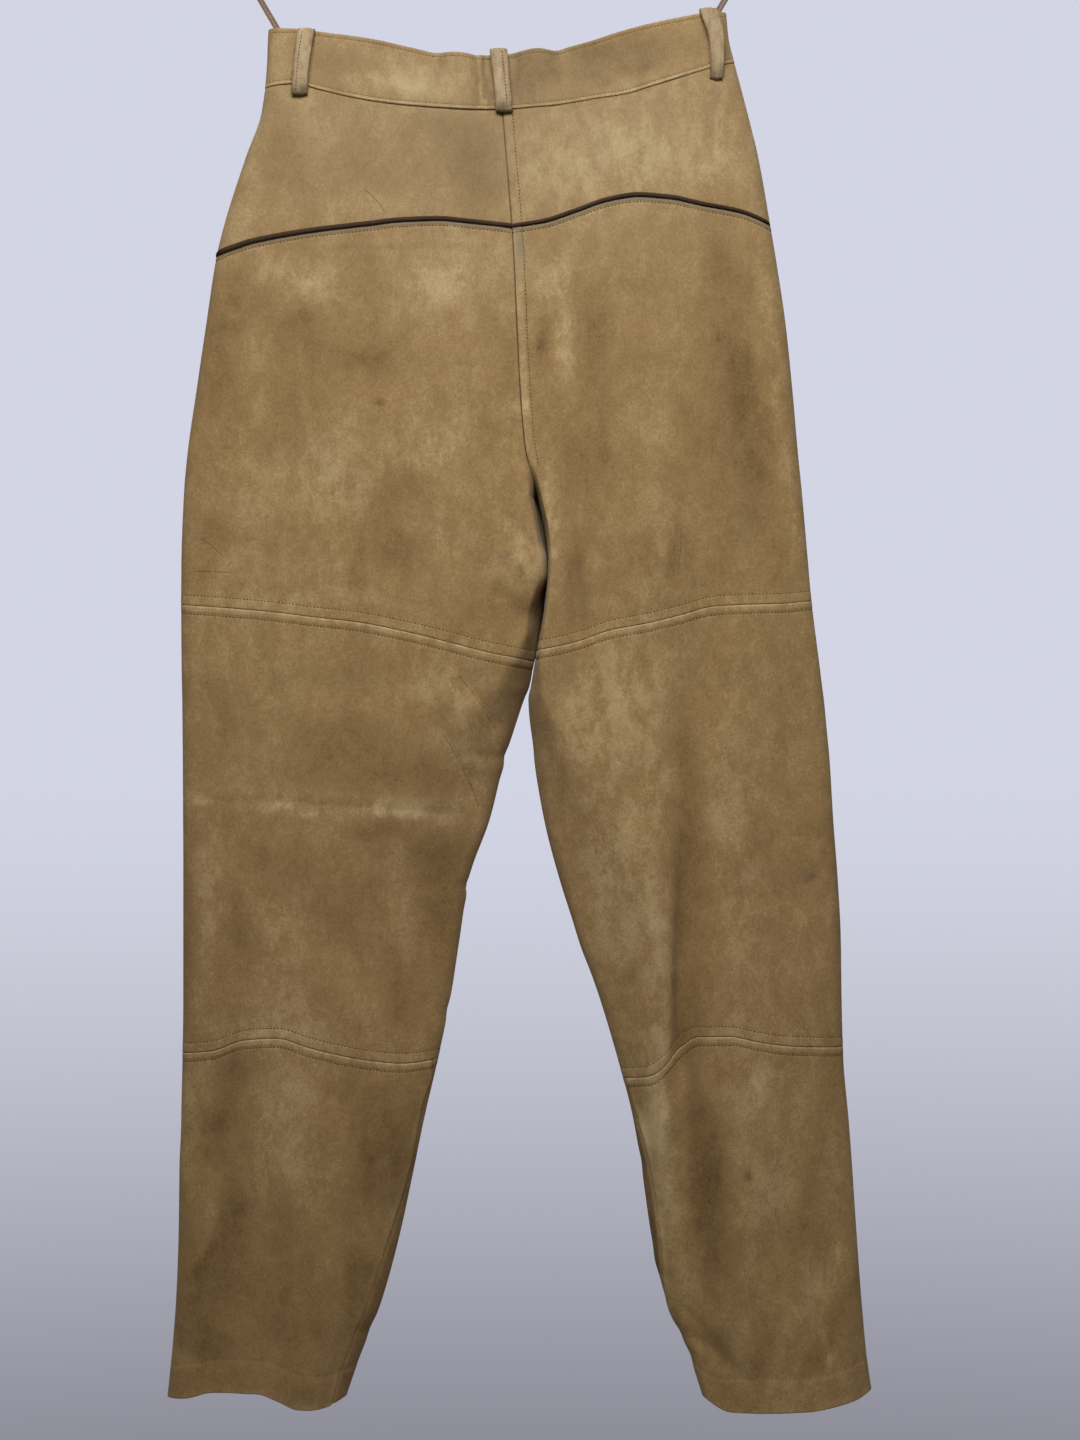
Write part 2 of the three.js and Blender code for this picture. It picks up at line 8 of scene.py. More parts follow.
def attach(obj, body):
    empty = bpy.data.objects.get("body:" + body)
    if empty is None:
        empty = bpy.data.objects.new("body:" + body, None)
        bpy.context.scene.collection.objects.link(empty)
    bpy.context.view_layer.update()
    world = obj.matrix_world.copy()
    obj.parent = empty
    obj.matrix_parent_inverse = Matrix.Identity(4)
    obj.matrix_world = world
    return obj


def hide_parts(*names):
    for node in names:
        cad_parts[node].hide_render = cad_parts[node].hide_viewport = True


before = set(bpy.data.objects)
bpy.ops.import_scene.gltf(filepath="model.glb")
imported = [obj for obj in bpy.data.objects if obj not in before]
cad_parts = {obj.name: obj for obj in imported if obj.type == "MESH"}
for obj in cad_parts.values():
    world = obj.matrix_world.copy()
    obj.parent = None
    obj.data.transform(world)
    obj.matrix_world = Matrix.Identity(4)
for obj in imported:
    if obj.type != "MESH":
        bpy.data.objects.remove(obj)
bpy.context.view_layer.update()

mm = 0.001
scene = bpy.context.scene
collection = scene.collection
scene.view_settings.view_transform = "Standard"

# sizes of the cut, in millimetres
trousers = {
    "waistHeight": -190,    # right waist corner; every drop is measured down from it
    "suede": 1.3,
    "band": 2.4,
    "seamGap": 0.004,
    "foldReach": 13,
}
crotch = {
    "backStart": 327, "backEnd": 364,       # where the centre seam turns under
    "frontStart": 326, "frontEnd": 400,
    "broadFrom": {"left": 425, "right": 455}, "broadOver": 250,     # the legs round off more broadly below
    "reachDrops": [327, 400, 428, 455, 490, 530],     # how tightly each leg turns into the gap
    "reach": {"left": [6, 4.5, 6, 10, 9, 9], "right": [4, 3, 3, 3, 5, 8]},
    # the slit values paint shade into the slit between the legs
    "slitShade": -0.6, "slitReach": 2.6, "slitFade": 3,
    "gapDrops": [340, 362, 396, 414, 440, 470, 495, 520],
    "gap": [0, 2.6, 4.6, 0.7, 4.6, 3.0, 0.5, 0],
    "gapReach": 14, "gapLip": 0.7,
}
lineFade = 0.35     # the share of a line's length over which it fades at its ends
turnPower = 0.4
nearZero = 1e-6
rimShare = 0.0001

sectionColumns = ["drop", "leftOuter", "leftInner", "rightInner", "rightOuter", "back", "front", "fold"]
sections = [
    [0, -166.5, 4, 4, 175.5, 10, 9, 7],
    [20, -168, 5.2, 5.2, 177.5, 11, 10, 7],
    [40, -168.8, 6.4, 6.4, 182.4, 12, 11, 7],
    [75, -172.8, 8.3, 8.3, 191.5, 16, 14, 8],
    [110, -185, 11.1, 11.1, 200, 20, 17, 8],
    [160, -200.9, 15.2, 15.2, 208.8, 25, 21, 9],
    [185, -206.9, 16.9, 16.9, 213, 27, 22, 9],
    [235, -214.5, 19.2, 19.2, 220.4, 30, 24, 9],
    [290, -222.6, 22, 22, 226, 32, 26, 9],
    [330, -228.3, 25.5, 25.5, 229.5, 33, 28, 9],
    [360, -231, 33, 33, 232.5, 34, 29, 9],
    [411, -233, 42, 42, 237, 35, 31, 9],
    [440, -233.2, 40, 40, 239.6, 35, 32, 9],
    [490, -232.9, 31.5, 31.5, 245.8, 34, 33, 9],
    [506, -232.6, 28.4, 28.8, 247.8, 33, 33, 9],
    [515, -232.4, 24.7, 27, 249, 33, 33, 9],
    [538, -232.2, 17, 28.4, 251.2, 33, 33, 9],
    [560, -232, 10, 31, 253.3, 33, 33, 9],
    [605, -231.8, -1.2, 38.6, 256, 32, 33, 9],
    [650, -231.6, -17, 50.2, 259.4, 31, 32, 9],
    [695, -231.6, -24, 65, 261.7, 30, 31, 9],
    [740, -231.6, -31, 80.6, 262.3, 30, 31, 9],
    [785, -232.2, -40.2, 94, 263.6, 29, 30, 9],
    [830, -233.4, -50.6, 105.6, 267.6, 28, 29, 8],
    [875, -234.4, -59.8, 113, 270.9, 27, 28, 8],
    [920, -235.2, -69.6, 119.6, 273.9, 26, 27, 8],
    [965, -237, -82, 130, 277.2, 26, 27, 8],
    [1010, -240.6, -99.4, 148.6, 281.4, 26, 26, 8],
    [1050, -244.6, -113, 161.5, 287.6, 26, 25, 8],
]

crestColumns = ["drop", "leftBack", "rightBack", "leftFront", "rightFront"]
crests = [
    [411, 0.55, 0.55, 0.55, 0.55],
    [650, 0.55, 0.6, 0.5, 0.52],
    [785, 0.6, 0.62, 0.48, 0.45],
    [920, 0.7, 0.6, 0.45, 0.42],
    [1050, 0.79, 0.58, 0.42, 0.42],
]

# drops at nine equal steps from the side seam to the inner edge
seams = {
    "bandTop": {
        "left": [13.5, 14.5, 17.5, 20.5, 24.3, 29.5, 34, 34, 35.5],
        "right": [1, 3.5, 7.5, 12.5, 18.5, 25.5, 30.5, 32, 35.5],
    },
    "bandBottom": {
        "left": [57.5, 56, 61.5, 67, 71, 73.6, 75.4, 76.6, 77],
        "right": [38.5, 45, 51.3, 58.4, 65.2, 69, 73, 75.5, 77],
    },
    "piping": {
        "left": [184.5, 175.5, 170.5, 167, 164.3, 161.6, 161, 163.5, 167],
        "right": [162, 152.8, 149, 144.4, 142.8, 146.8, 155.3, 163.4, 167],
    },
    "thigh": {
        "left": [445, 447.6, 450.7, 455, 459, 465.6, 473.5, 481.7, 487.5],
        "right": [442, 444.6, 445.5, 447, 453.8, 460, 465, 474.2, 480],
    },
    "knee": {
        "left": [780, 777.3, 768.5, 766.5, 773, 779, 783.5, 786, 784],
        "right": [775.5, 774.5, 773, 769.5, 765, 765.3, 780.3, 794.8, 798.8],
    },
    "hem": {
        "left": [1038, 1036, 1031, 1030, 1030, 1035, 1041, 1042, 1037],
        "right": [1032, 1038, 1041, 1043, 1043.5, 1044, 1045, 1046, 1037],
    },
}

# the hanging folds and the creases: a trough or ridge along a line from (x, drop) to (x, drop)
folds = {
    "right back": [
        (146, 470, 148, 660, 17, -3), (148, 640, 142, 800, 12, -7), (142, 780, 157, 930, 12, -6),
        (157, 910, 158, 1050, 14, -3), (114, 600, 122, 860, 16, 4),
    ],
    "left back": [
        (-16, 500, 2, 540, 9, -3), (-38, 530, -12, 610, 10, -3), (-178, 790, -214, 880, 18, -3),
        (-150, 860, -140, 1040, 12, 3),
    ],
    "right front": [
        (150, 560, 160, 790, 16, -5), (160, 780, 190, 1000, 16, -4), (110, 110, 130, 250, 18, -2.5),
    ],
    "left front": [
        (-120, 580, -130, 800, 16, -5), (-130, 800, -165, 1000, 16, -4), (-60, 120, -90, 250, 18, -2.5),
    ],
}
creases = {
    "left back": [
        # seat and thigh, left
        (9, 378, 34, 407, 4.5, -1.7), (8, 402, 40, 430, 8, 2.6), (2, 436, 30, 456, 9, -2.4),
        (14, 300, 22, 345, 7, -1.4), (-40, 396, 2, 424, 9, -1.1), (-150, 262, -60, 292, 18, -1.3),
        (-190, 330, -96, 368, 20, -1.5), (-205, 396, -160, 410, 7, -0.7),
        (-120, 372, -60, 420, 22, -1.6), (-130, 204, -110, 330, 26, 1.6),
        (-116, 182, -4, 182, 2, -0.35), (-116, 178, -4, 178, 2.6, 0.35),
        # knee, left
        (-17, 503, 1, 535, 2.2, -1.1), (-36, 538, -23, 565, 2.4, -1), (-24, 562, -11, 596, 2.6, -1.3),
        (-24, 498, -6, 530, 5, 1), (-46, 540, -22, 600, 6, 1.2), (-230, 591, -150, 592, 2.4, -0.5),
        (-150, 592, -30, 601, 2.4, -0.6), (-150, 586, -30, 594, 4, 0.5),
        (-215, 610, -120, 690, 20, -1.4), (-196, 660, -180, 730, 14, -1.5),
        (-140, 680, -60, 740, 18, -1.4), (-44, 630, -40, 700, 12, -2),
        # calf, left
        (-196, 780, -222, 850, 15, -3.2), (-232, 850, -210, 940, 12, 1.4),
        (-180, 892, -220, 932, 10, -2.2), (-160, 900, -190, 980, 12, -1.6),
        (-100, 905, -88, 960, 5, -1.1), (-238, 1000, -200, 1010, 7, -1.2),
        (-128, 985, -108, 1030, 6, -1.6), (-150, 1000, -140, 1030, 9, 1.2),
        # gathers in the waistband
        (-38, 40, -36, 62, 4.5, -1.5), (-30, 34, -27, 66, 5, 1), (-13, 34, -12, 72, 2.6, -2),
        (-8.4, 34, -8, 74, 2.4, 1.4), (-4.4, 34, -4, 74, 2.2, -1.6), (-110, 40, -70, 50, 9, -0.9),
    ],
    "right back": [
        # thigh, right
        (40, 236, 44, 262, 8, -1.9), (46, 290, 60, 378, 4.5, -2.3), (56, 370, 66, 470, 5, -2.6),
        (66, 404, 82, 468, 7, 1.3), (139, 388, 137, 424, 2.6, -1), (131, 386, 128, 424, 7, 1.2),
        (176, 190, 190, 300, 16, -2), (186, 300, 206, 425, 14, -2.6), (118, 250, 122, 400, 16, 1.5),
        (164, 322, 161, 340, 2.2, -0.7),
        # knee, right
        (133, 520, 142, 610, 9, -2.2), (146, 610, 144, 700, 9, -2.4), (141, 700, 139, 790, 6, -3.6),
        (131, 660, 129, 780, 6, 1.6), (84, 470, 108, 560, 18, 1.8), (168, 530, 176, 650, 14, 1.8),
        (212, 540, 226, 690, 16, -1.5), (206, 640, 214, 668, 5, -0.8),
        # calf, right
        (158, 820, 152, 900, 12, -2.6), (154, 900, 158, 985, 10, -2.2), (150, 985, 190, 1026, 7, -2.2),
        (142, 968, 158, 984, 3, -1.1), (148, 990, 164, 1002, 3, -1), (186, 850, 182, 960, 16, 1.6),
        (226, 800, 214, 930, 13, -2), (262, 890, 236, 980, 10, -1.8), (188, 956, 170, 1010, 8, -1.3),
        # gathers in the waistband
        (17, 33, 19, 72, 3.5, -1.5), (45, 24, 43, 64, 6.5, -2), (33, 24, 34, 66, 6, 1),
        (62, 44, 100, 30, 8, -0.9), (66, 60, 120, 40, 6, 0.8),
    ],
    "left front": [
        # fronts, of the same kind
        (-10, 330, -60, 372, 10, -2), (0, 360, -56, 400, 8, -1.6), (-100, 220, -112, 340, 15, -2),
        (-180, 640, -110, 700, 16, -2), (-176, 660, -120, 672, 6, 1.2), (-70, 700, -130, 742, 12, -2),
        (-190, 870, -120, 900, 12, -1.8), (-210, 940, -150, 985, 8, -1.5),
        (-150, 104, -120, 190, 8, -1.5), (-42, 128, -54, 236, 9, -1.7), (-190, 250, -126, 264, 8, -1.4),
        (-70, 298, -4, 322, 6, -1.6), (-96, 596, -150, 612, 5, -1.2),
        # gathers in the waistband
        (-60, 34, -58, 66, 5, -1.2), (-118, 34, -112, 62, 5, -1.4), (-128, 34, -121, 60, 4, 0.9),
    ],
    "right front": [
        # fronts, of the same kind
        (66, 326, 118, 368, 10, -2), (62, 366, 112, 404, 8, -1.6), (120, 640, 200, 690, 16, -2),
        (150, 616, 206, 640, 6, 1.2), (130, 730, 190, 752, 12, -2), (160, 880, 240, 905, 12, -1.8),
        (190, 950, 250, 990, 8, -1.5), (150, 240, 160, 360, 15, -2), (50, 116, 62, 250, 8, -1.5),
        (182, 150, 192, 300, 10, -2), (122, 302, 214, 282, 8, -1.5), (30, 318, 98, 296, 6, -1.5),
        (122, 590, 176, 604, 5, -1.2),
        # gathers in the waistband
        (70, 30, 72, 62, 6, -1.3), (44, 36, 40, 70, 4, -1.5), (52, 36, 50, 70, 4, 0.9),
        (132, 22, 140, 54, 5, -1.4),
    ],
}
nicks = {
    # small steps in the inner edge of a leg: (drop, reach, inward)
    "left": [(558, 5, 1.1), (566, 6, -0.7), (655, 5, 1.3), (663, 7, -0.6), (748, 6, 1.0), (986, 7, 0.9)],
    "right": [(548, 12, 0.8), (700, 16, -0.8), (862, 9, 0.8), (936, 8, -0.9), (990, 6, 1.0), (1006, 7, 1.1)],
}
# the waistband's upper edge: x, reach, drop
topRipples = {
    "back": [
        (-27, 11, -1.4), (-10, 6, 1.1), (34, 13, -1.3), (50, 6, 1.3),
    ],
    "front": [
        (-40, 12, -0.9), (60, 14, 0.9),
    ],
}


sectionTable = {name: np.array(values, float) for name, *values in zip(sectionColumns, *sections)}
crestTable = {name: np.array(values, float) for name, *values in zip(crestColumns, *crests)}


def inwardOf(side):
    return 1 if side == "left" else -1


def outwardOf(face):
    return -1 if face == "back" else 1


def smoothCurve(stops, values, at):
    # passes through every stop, flat where neighbouring slopes disagree
    stops, values = np.asarray(stops, float), np.asarray(values, float)
    at = np.clip(at, stops[0], stops[-1])
    i = np.clip(np.searchsorted(stops, at, side="right") - 1, 0, len(stops) - 2)
    slopes = np.diff(values) / np.diff(stops)
    before, after = slopes[:-1], slopes[1:]
    total = before + after
    total[total == 0] = 1
    inner = np.where(before * after <= 0, 0, 2 * before * after / total)
    tangents = np.concatenate(([slopes[0]], inner, [slopes[-1]]))
    width = stops[i + 1] - stops[i]
    t = (at - stops[i]) / width
    ends = values[i] * (1 - t) ** 2 * (1 + 2 * t) + values[i + 1] * t ** 2 * (3 - 2 * t)
    return ends + width * (tangents[i] * t * (1 - t) ** 2 - tangents[i + 1] * t ** 2 * (1 - t))


def smooth(t):
    t = np.clip(t, 0, 1)
    return t * t * (3 - 2 * t)


def swell(distance, reach):
    return np.exp(-((distance / reach) ** 2))


def lengthsAlong(points):
    # distance from the first point to each point of a line
    return np.concatenate([[0], np.cumsum(np.linalg.norm(np.diff(points, axis=0), axis=1))])


def sectionAt(name, drop):
    return smoothCurve(sectionTable["drop"], sectionTable[name], drop)


def seamDrop(name, side, across):
    drops = seams[name][side]
    return smoothCurve(np.linspace(0, 1, len(drops)), drops, across)


def topRipple(face, x):
    lift = np.zeros(np.shape(x))
    for middle, reach, drop in topRipples[face]:
        lift += drop * swell(x - middle, reach)
    return lift


# the outer surface of the hanging trousers
def edgesAt(side, drop):
    inward = inwardOf(side)
    outer = sectionAt(side + "Outer", drop)
    inner = sectionAt(side + "Inner", drop) - inward * trousers["seamGap"]
    for place, reach, depth in nicks[side]:
        inner = inner - inward * depth * swell(drop - place, reach)
    return outer, inner


def closing(face, drop):
    start, end = crotch[face + "Start"], crotch[face + "End"]
    t = np.clip((drop - start) / (end - start), 0, 1)
    return 1 - np.sqrt(1 - t * t)


def foldRound(distance, reach=trousers["foldReach"]):
    return np.sqrt(1 - (1 - np.clip(distance / reach, 0, 1)) ** 2)


def alongLine(x, drop, line, before, after):
    # 1 on the line, fading past its ends and over its reach on each side
    x1, drop1, x2, drop2 = line
    length = math.hypot(x2 - x1, drop2 - drop1)
    along = ((x - x1) * (x2 - x1) + (drop - drop1) * (drop2 - drop1)) / length
    off = ((x - x1) * (drop2 - drop1) - (drop - drop1) * (x2 - x1)) / length
    end = np.minimum(along, length - along) / (length * lineFade) + 0.5
    return smooth(end) * swell(off, np.where(off < 0, before, after))


def foldLift(rows, side, face, x, drop):
    lift = np.zeros(np.shape(x))
    for *line, width, rise in rows[side + " " + face]:
        lift += rise * alongLine(x, drop, line, width, width)
    return lift


def clothPoint(side, face, across, drop):
    across, drop = np.broadcast_arrays(np.asarray(across, float), np.asarray(drop, float))
    outer, inner = edgesAt(side, drop)
    width = np.abs(inner - outer)
    x = outer + (inner - outer) * across
    shut = closing(face, drop)
    depth, fold = sectionAt(face, drop), sectionAt("fold", drop)
    legCrest = smoothCurve(crestTable["drop"], crestTable[side + face.capitalize()], drop)
    crest = 1 + (legCrest - 1) * smooth((drop - crotch["broadFrom"][side]) / crotch["broadOver"])
    reach = smoothCurve(crotch["reachDrops"], crotch["reach"][side], drop)
    crest = np.minimum(crest, 1 - reach / width)
    inside = np.clip(across, 0, 1)
    rising = np.sin(math.pi / 2 * np.minimum(inside / crest, 1))
    room = np.maximum(1 - crest, nearZero)
    falling = np.where(inside > crest, np.sin(math.pi / 2 * np.clip((1 - inside) / room, 0, 1)), 1)
    innerRound = 1 + (foldRound(width * (1 - inside), reach) - 1) * shut
    bulge = rising * (1 + (falling - 1) * shut)
    edge = foldRound(width * inside) * innerRound
    out = fold * edge + (depth - fold) * bulge
    out = out + foldLift(folds, side, face, x, drop) * edge * smooth(bulge * 2)
    if face == "back" and side == "left":
        gap = smoothCurve(crotch["gapDrops"], crotch["gap"], drop) * shut
        fromInner = width * (1 - inside)
        x = x - gap * np.exp(-fromInner / crotch["gapReach"]) * (1 - np.exp(-fromInner / crotch["gapLip"]))
    return np.stack([x, outwardOf(face) * out, trousers["waistHeight"] - drop], -1)


def clothNormal(side, face, across, drop):
    across, drop = np.broadcast_arrays(np.asarray(across, float), np.asarray(drop, float))
    sign, inward = outwardOf(face), inwardOf(side)
    stepAcross, stepDrop = 0.004, 2
    right = clothPoint(side, face, np.minimum(across + stepAcross, 1), drop)
    left = clothPoint(side, face, np.maximum(across - stepAcross, 0), drop)
    low = clothPoint(side, face, across, drop + stepDrop)
    high = clothPoint(side, face, across, drop - stepDrop)
    normal = np.cross(right - left, high - low)
    normal /= np.linalg.norm(normal, axis=-1, keepdims=True) + 1e-12
    normal = np.where(normal[..., 1:2] * sign < 0, -normal, normal)
    shut, none = closing(face, drop), np.zeros(drop.shape)
    outerSide = np.stack([np.full(drop.shape, -inward), none, none], -1)
    innerSide = np.stack([inward * shut ** turnPower, sign * (1 - shut), none], -1)
    innerSide = innerSide / np.linalg.norm(innerSide, axis=-1, keepdims=True)
    normal = np.where(across[..., None] <= 0, outerSide, normal)
    return np.where(across[..., None] >= 1, innerSide, normal)


def placeOn(face, x, drop):
    # which half a point by x and drop lies on, and how far across
    side = "left" if x < float(sectionAt("leftInner", drop)) else "right"
    outer, inner = edgesAt(side, drop)
    return side, float(np.clip((x - outer) / (inner - outer), rimShare, 1 - rimShare))


def onCloth(face, x, drop, lift):
    side, across = placeOn(face, x, drop)
    return clothPoint(side, face, across, drop) + clothNormal(side, face, across, drop) * lift


# relief of the hide and its seams
def softNoise(a, b, seed):
    # smooth unevenness between -1 and 1, one swell to each unit
    size = 61
    table = np.random.default_rng(seed).uniform(-1, 1, (size, size))
    i, j = np.floor(a).astype(int), np.floor(b).astype(int)
    u, v = a - i, b - j
    u, v = (w * w * w * (w * (w * 6 - 15) + 10) for w in (u, v))
    low = table[i % size, j % size] * (1 - u) + table[(i + 1) % size, j % size] * u
    high = table[i % size, (j + 1) % size] * (1 - u) + table[(i + 1) % size, (j + 1) % size] * u
    return low * (1 - v) + high * v


def drifted(start, rows, x, drop, seed=0):
    for amount, across, down, rowSeed in rows:
        start = start + amount * softNoise(x / across, drop / down, seed + rowSeed)
    return start


# each row is the height, the reach across and down, and the seed
hideWaves = {
    "lean": 0.12, "slope": 0.3, "seed": {"back": 3, "front": 41},
    "broad": [(2.0, 62, 170, 0)], "fine": [(0.75, 23, 52, 1), (0.22, 9, 13, 2)],
}


def softWaves(x, drop, face):
    # slow unevenness of the hanging hide
    x, drop = np.asarray(x, float), np.asarray(drop, float)
    seed = hideWaves["seed"][face]
    total = drifted(0, hideWaves["broad"], x + hideWaves["lean"] * drop, drop, seed)
    return drifted(total, hideWaves["fine"], x, drop - hideWaves["slope"] * x, seed)


def seamDip(distance, depth=0.9, width=0.9):
    return -depth * np.exp(-distance / width)


def raised(distance, width, height, edge=1.2):
    return height * (1 - smooth((distance - width) / edge))


def groove(distance, at, depth=0.3, width=0.75):
    return -depth * swell(distance - at, width)


def turnedIn(distance, radius=1.1):
    return -radius * (1 - np.sqrt(1 - (1 - np.clip(distance / radius, 0, 1)) ** 2))


stitchAt = {
    "bandTop": 3.2, "bandFoot": 3.2, "cross": 7.7, "crossLow": 6.2, "centre": 7.0, "piping": 3.7, "hem": 25,
}

edgeForms = {
    "bandTop": lambda d: turnedIn(d) + groove(d, stitchAt["bandTop"]) + raised(d, 2.6, 0.15),
    "bandFoot": lambda d: turnedIn(d, 0.9) + raised(d, 1.6, 0.55, 0.9) + groove(d, stitchAt["bandFoot"]),
    "underBand": lambda d: seamDip(d, 1.2, 0.8),
    "abovePiping": lambda d: seamDip(d, 1.0, 1.6),
    "belowPiping": lambda d: turnedIn(d, 0.8) + raised(d, 2.2, 0.5, 0.9) + groove(d, stitchAt["piping"]),
    "aboveCross": lambda d: seamDip(d, 0.6, 0.6) + raised(d, 6.6, 0.3, 2.0) + groove(d, stitchAt["cross"]),
    "belowCross": lambda d: seamDip(d, 0.35, 0.3) + raised(d, 3.6, 0.42, 2.6) + groove(d, stitchAt["crossLow"]),
    "hem": lambda d: turnedIn(d, 1.2) + raised(d, 22, 0.35, 2.4) + groove(d, stitchAt["hem"], 0.2, 1.5),
    "side": lambda d: seamDip(d, 0.4, 0.9),
    "centrePlain": lambda d: seamDip(d, 1.3, 0.7),
    "yokeWelt": lambda d: seamDip(d, 0.5, 0.4) + raised(d, 5.6, 0.4, 2.2) + groove(d, stitchAt["centre"], 0.35),
    "centreWelt": lambda d: (
        seamDip(d, 0.5, 0.4) + raised(d, 5.6, 0.5, 2.2) + groove(d, stitchAt["centre"], 0.35)
    ),
}
# how much lighter or darker the suede is painted beside each kind of edge: (amount, reach); the dark amounts in
# seam gaps, under the band and above the piping are painted shade, the light amounts on raised lips and outer
# edges partly rubbed nap and partly painted highlight
edgeTones = {
    "bandTop": [(0.05, 2.0)], "bandFoot": [(0.24, 1.6)], "underBand": [(-0.5, 0.8)],
    "abovePiping": [(-0.3, 2.0)], "belowPiping": [(0.06, 3.0)],
    "aboveCross": [(-0.5, 0.6), (0.05, 6.0)], "belowCross": [(0.16, 1.4), (0.08, 4.0)],
    "hem": [(0.06, 5.0)], "side": [(0.1, 4.0)],
    "centrePlain": [(-0.6, 0.9)], "centreWelt": [(0.17, 5.6)], "yokeWelt": [(0.03, 5.6)],
}


def edgeTone(kind, distance):
    tone = np.zeros(np.shape(distance))
    for amount, reach in edgeTones[kind]:
        tone += amount * (1 - smooth((distance - reach * 0.6) / reach / 0.8))
    return tone


# lighter (positive) and darker (negative) places: mostly the nap's own patches, but the dark marks in creases
# and beside the seat seam's bulge are painted shade; x, drop, reach across and down, amount
napAndShadeMarks = {
    "back": [
        # waistband
        (0, 80, 270, 120, 0.07), (-118, 46, 34, 14, -0.2), (-64, 52, 26, 16, 0.16),
        (30, 50, 22, 24, -0.26), (64, 48, 26, 22, -0.3), (100, 38, 34, 18, -0.26),
        (86, 62, 30, 6, 0.12), (100, 52, 30, 6, 0.14), (128, 24, 26, 12, -0.16),
        (-160, 40, 10, 20, 0.12),
        # yoke
        (92, 110, 84, 46, 0.18), (72, 92, 40, 12, 0.03), (50, 122, 26, 14, 0.03),
        (168, 112, 24, 24, 0.06), (178, 146, 26, 18, -0.14), (-14, 112, 24, 32, -0.26),
        (-44, 88, 22, 10, -0.16), (-66, 104, 20, 20, -0.06), (-150, 84, 30, 30, 0.08),
        (-96, 126, 34, 16, -0.12), (-150, 104, 20, 26, -0.16), (-176, 140, 10, 34, 0.16),
        # seat, left
        (-190, 218, 18, 22, -0.28), (-156, 198, 24, 11, 0.1), (-140, 232, 16, 10, -0.16),
        (-133, 212, 18, 16, 0.2), (-36, 206, 34, 24, 0.15), (-60, 226, 10, 8, 0.14),
        (-84, 262, 14, 12, -0.14), (-150, 300, 50, 34, -0.1), (-62, 362, 22, 15, -0.2),
        (-74, 410, 22, 16, -0.2), (-116, 345, 34, 34, 0.12), (-40, 330, 18, 26, 0.12),
        (8, 454, 20, 12, -0.16), (24, 412, 15, 18, 0.22), (20, 300, 12, 10, 0.16),
        (-126, 440, 30, 7, 0.16), (-82, 295, 2.4, 2.4, -0.5), (-210, 390, 20, 18, -0.12),
        (-180, 440, 34, 12, 0.08), (-104, 238, 60, 50, -0.12),
        # seat and thigh, right
        (150, 270, 80, 110, -0.12), (42, 208, 11, 15, 0.2), (39, 252, 6, 14, -0.34),
        (54, 262, 8, 24, 0.08), (90, 216, 24, 30, 0.06), (26, 446, 9, 8, -0.3), (64, 436, 10, 34, -0.2),
        (112, 436, 12, 16, 0.24), (136, 404, 9, 22, -0.1), (170, 244, 2.2, 2.2, -0.4),
        # knee, left
        (-200, 520, 26, 30, -0.08), (-110, 546, 46, 18, -0.12), (-30, 508, 30, 14, 0.12),
        (-18, 556, 12, 26, 0.14), (-90, 570, 60, 16, -0.16), (-222, 590, 12, 4, 0.22),
        (-156, 594, 22, 4.5, 0.2), (-134, 601, 6, 2.4, 0.3), (-84, 594, 9, 3.6, 0.38),
        (-62, 598, 20, 5, 0.34), (-34, 603, 9, 5, 0.26), (-86, 612, 20, 7, -0.24),
        (-150, 640, 30, 20, -0.08), (-60, 660, 16, 26, 0.1), (-36, 664, 18, 42, -0.3),
        (-186, 690, 12, 26, -0.16), (-210, 650, 14, 40, 0.1), (-60, 740, 18, 18, -0.12),
        (-150, 762, 40, 8, 0.12),
        # knee, right
        (98, 512, 32, 50, 0.15), (70, 524, 20, 40, 0.17), (108, 668, 20, 30, 0.02),
        (110, 590, 26, 60, 0.1), (88, 630, 20, 50, 0.08), (98, 700, 22, 50, 0.06),
        (172, 600, 16, 60, 0.1), (236, 648, 3.4, 3, -0.5), (230, 644, 10, 10, -0.12),
        (186, 690, 20, 40, 0.08), (128, 775, 14, 18, 0.12),
        # calf, left
        (-70, 806, 20, 12, 0.12), (-120, 880, 22, 26, 0.06), (-226, 1006, 14, 8, 0.12),
        (-160, 1010, 40, 12, 0.06), (-170, 980, 110, 90, -0.22), (-60, 860, 22, 60, -0.16),
        # calf, right
        (120, 820, 10, 24, 0.34), (196, 800, 18, 14, 0.18), (200, 860, 22, 40, 0.04),
        (250, 780, 8, 30, -0.12), (253, 1008, 3, 8, 0.4), (246, 990, 4, 7, 0.2),
        (228, 1024, 24, 9, 0.14), (190, 866, 2.2, 3.4, -0.5),
    ],
    "front": [
        # waistband
        (0, 80, 270, 120, 0.07),
        # fronts
        (-64, 130, 18, 26, -0.2), (-108, 176, 24, 26, 0.1), (58, 196, 16, 34, 0.16),
        (150, 150, 22, 14, -0.16), (-150, 236, 14, 10, -0.2), (-56, 300, 24, 14, 0.12),
        (118, 330, 26, 16, -0.18), (206, 400, 20, 30, 0.1), (-40, 400, 14, 24, 0.12),
        (96, 420, 16, 14, 0.14), (-150, 520, 30, 24, 0.12), (190, 530, 30, 24, 0.1),
        (-90, 660, 22, 30, -0.14), (136, 690, 16, 26, 0.16), (-140, 930, 26, 14, 0.16),
        (230, 940, 18, 14, -0.16), (-84, 50, 26, 12, -0.18), (40, 56, 22, 14, 0.16),
        (130, 40, 24, 14, -0.16), (-100, 150, 50, 40, 0.12), (110, 180, 40, 60, -0.1),
        (-140, 330, 40, 60, -0.1), (150, 380, 50, 50, 0.1), (-140, 610, 40, 60, 0.12),
        (180, 600, 40, 60, 0.12), (-190, 860, 30, 60, -0.14), (190, 880, 34, 70, -0.12),
    ],
}
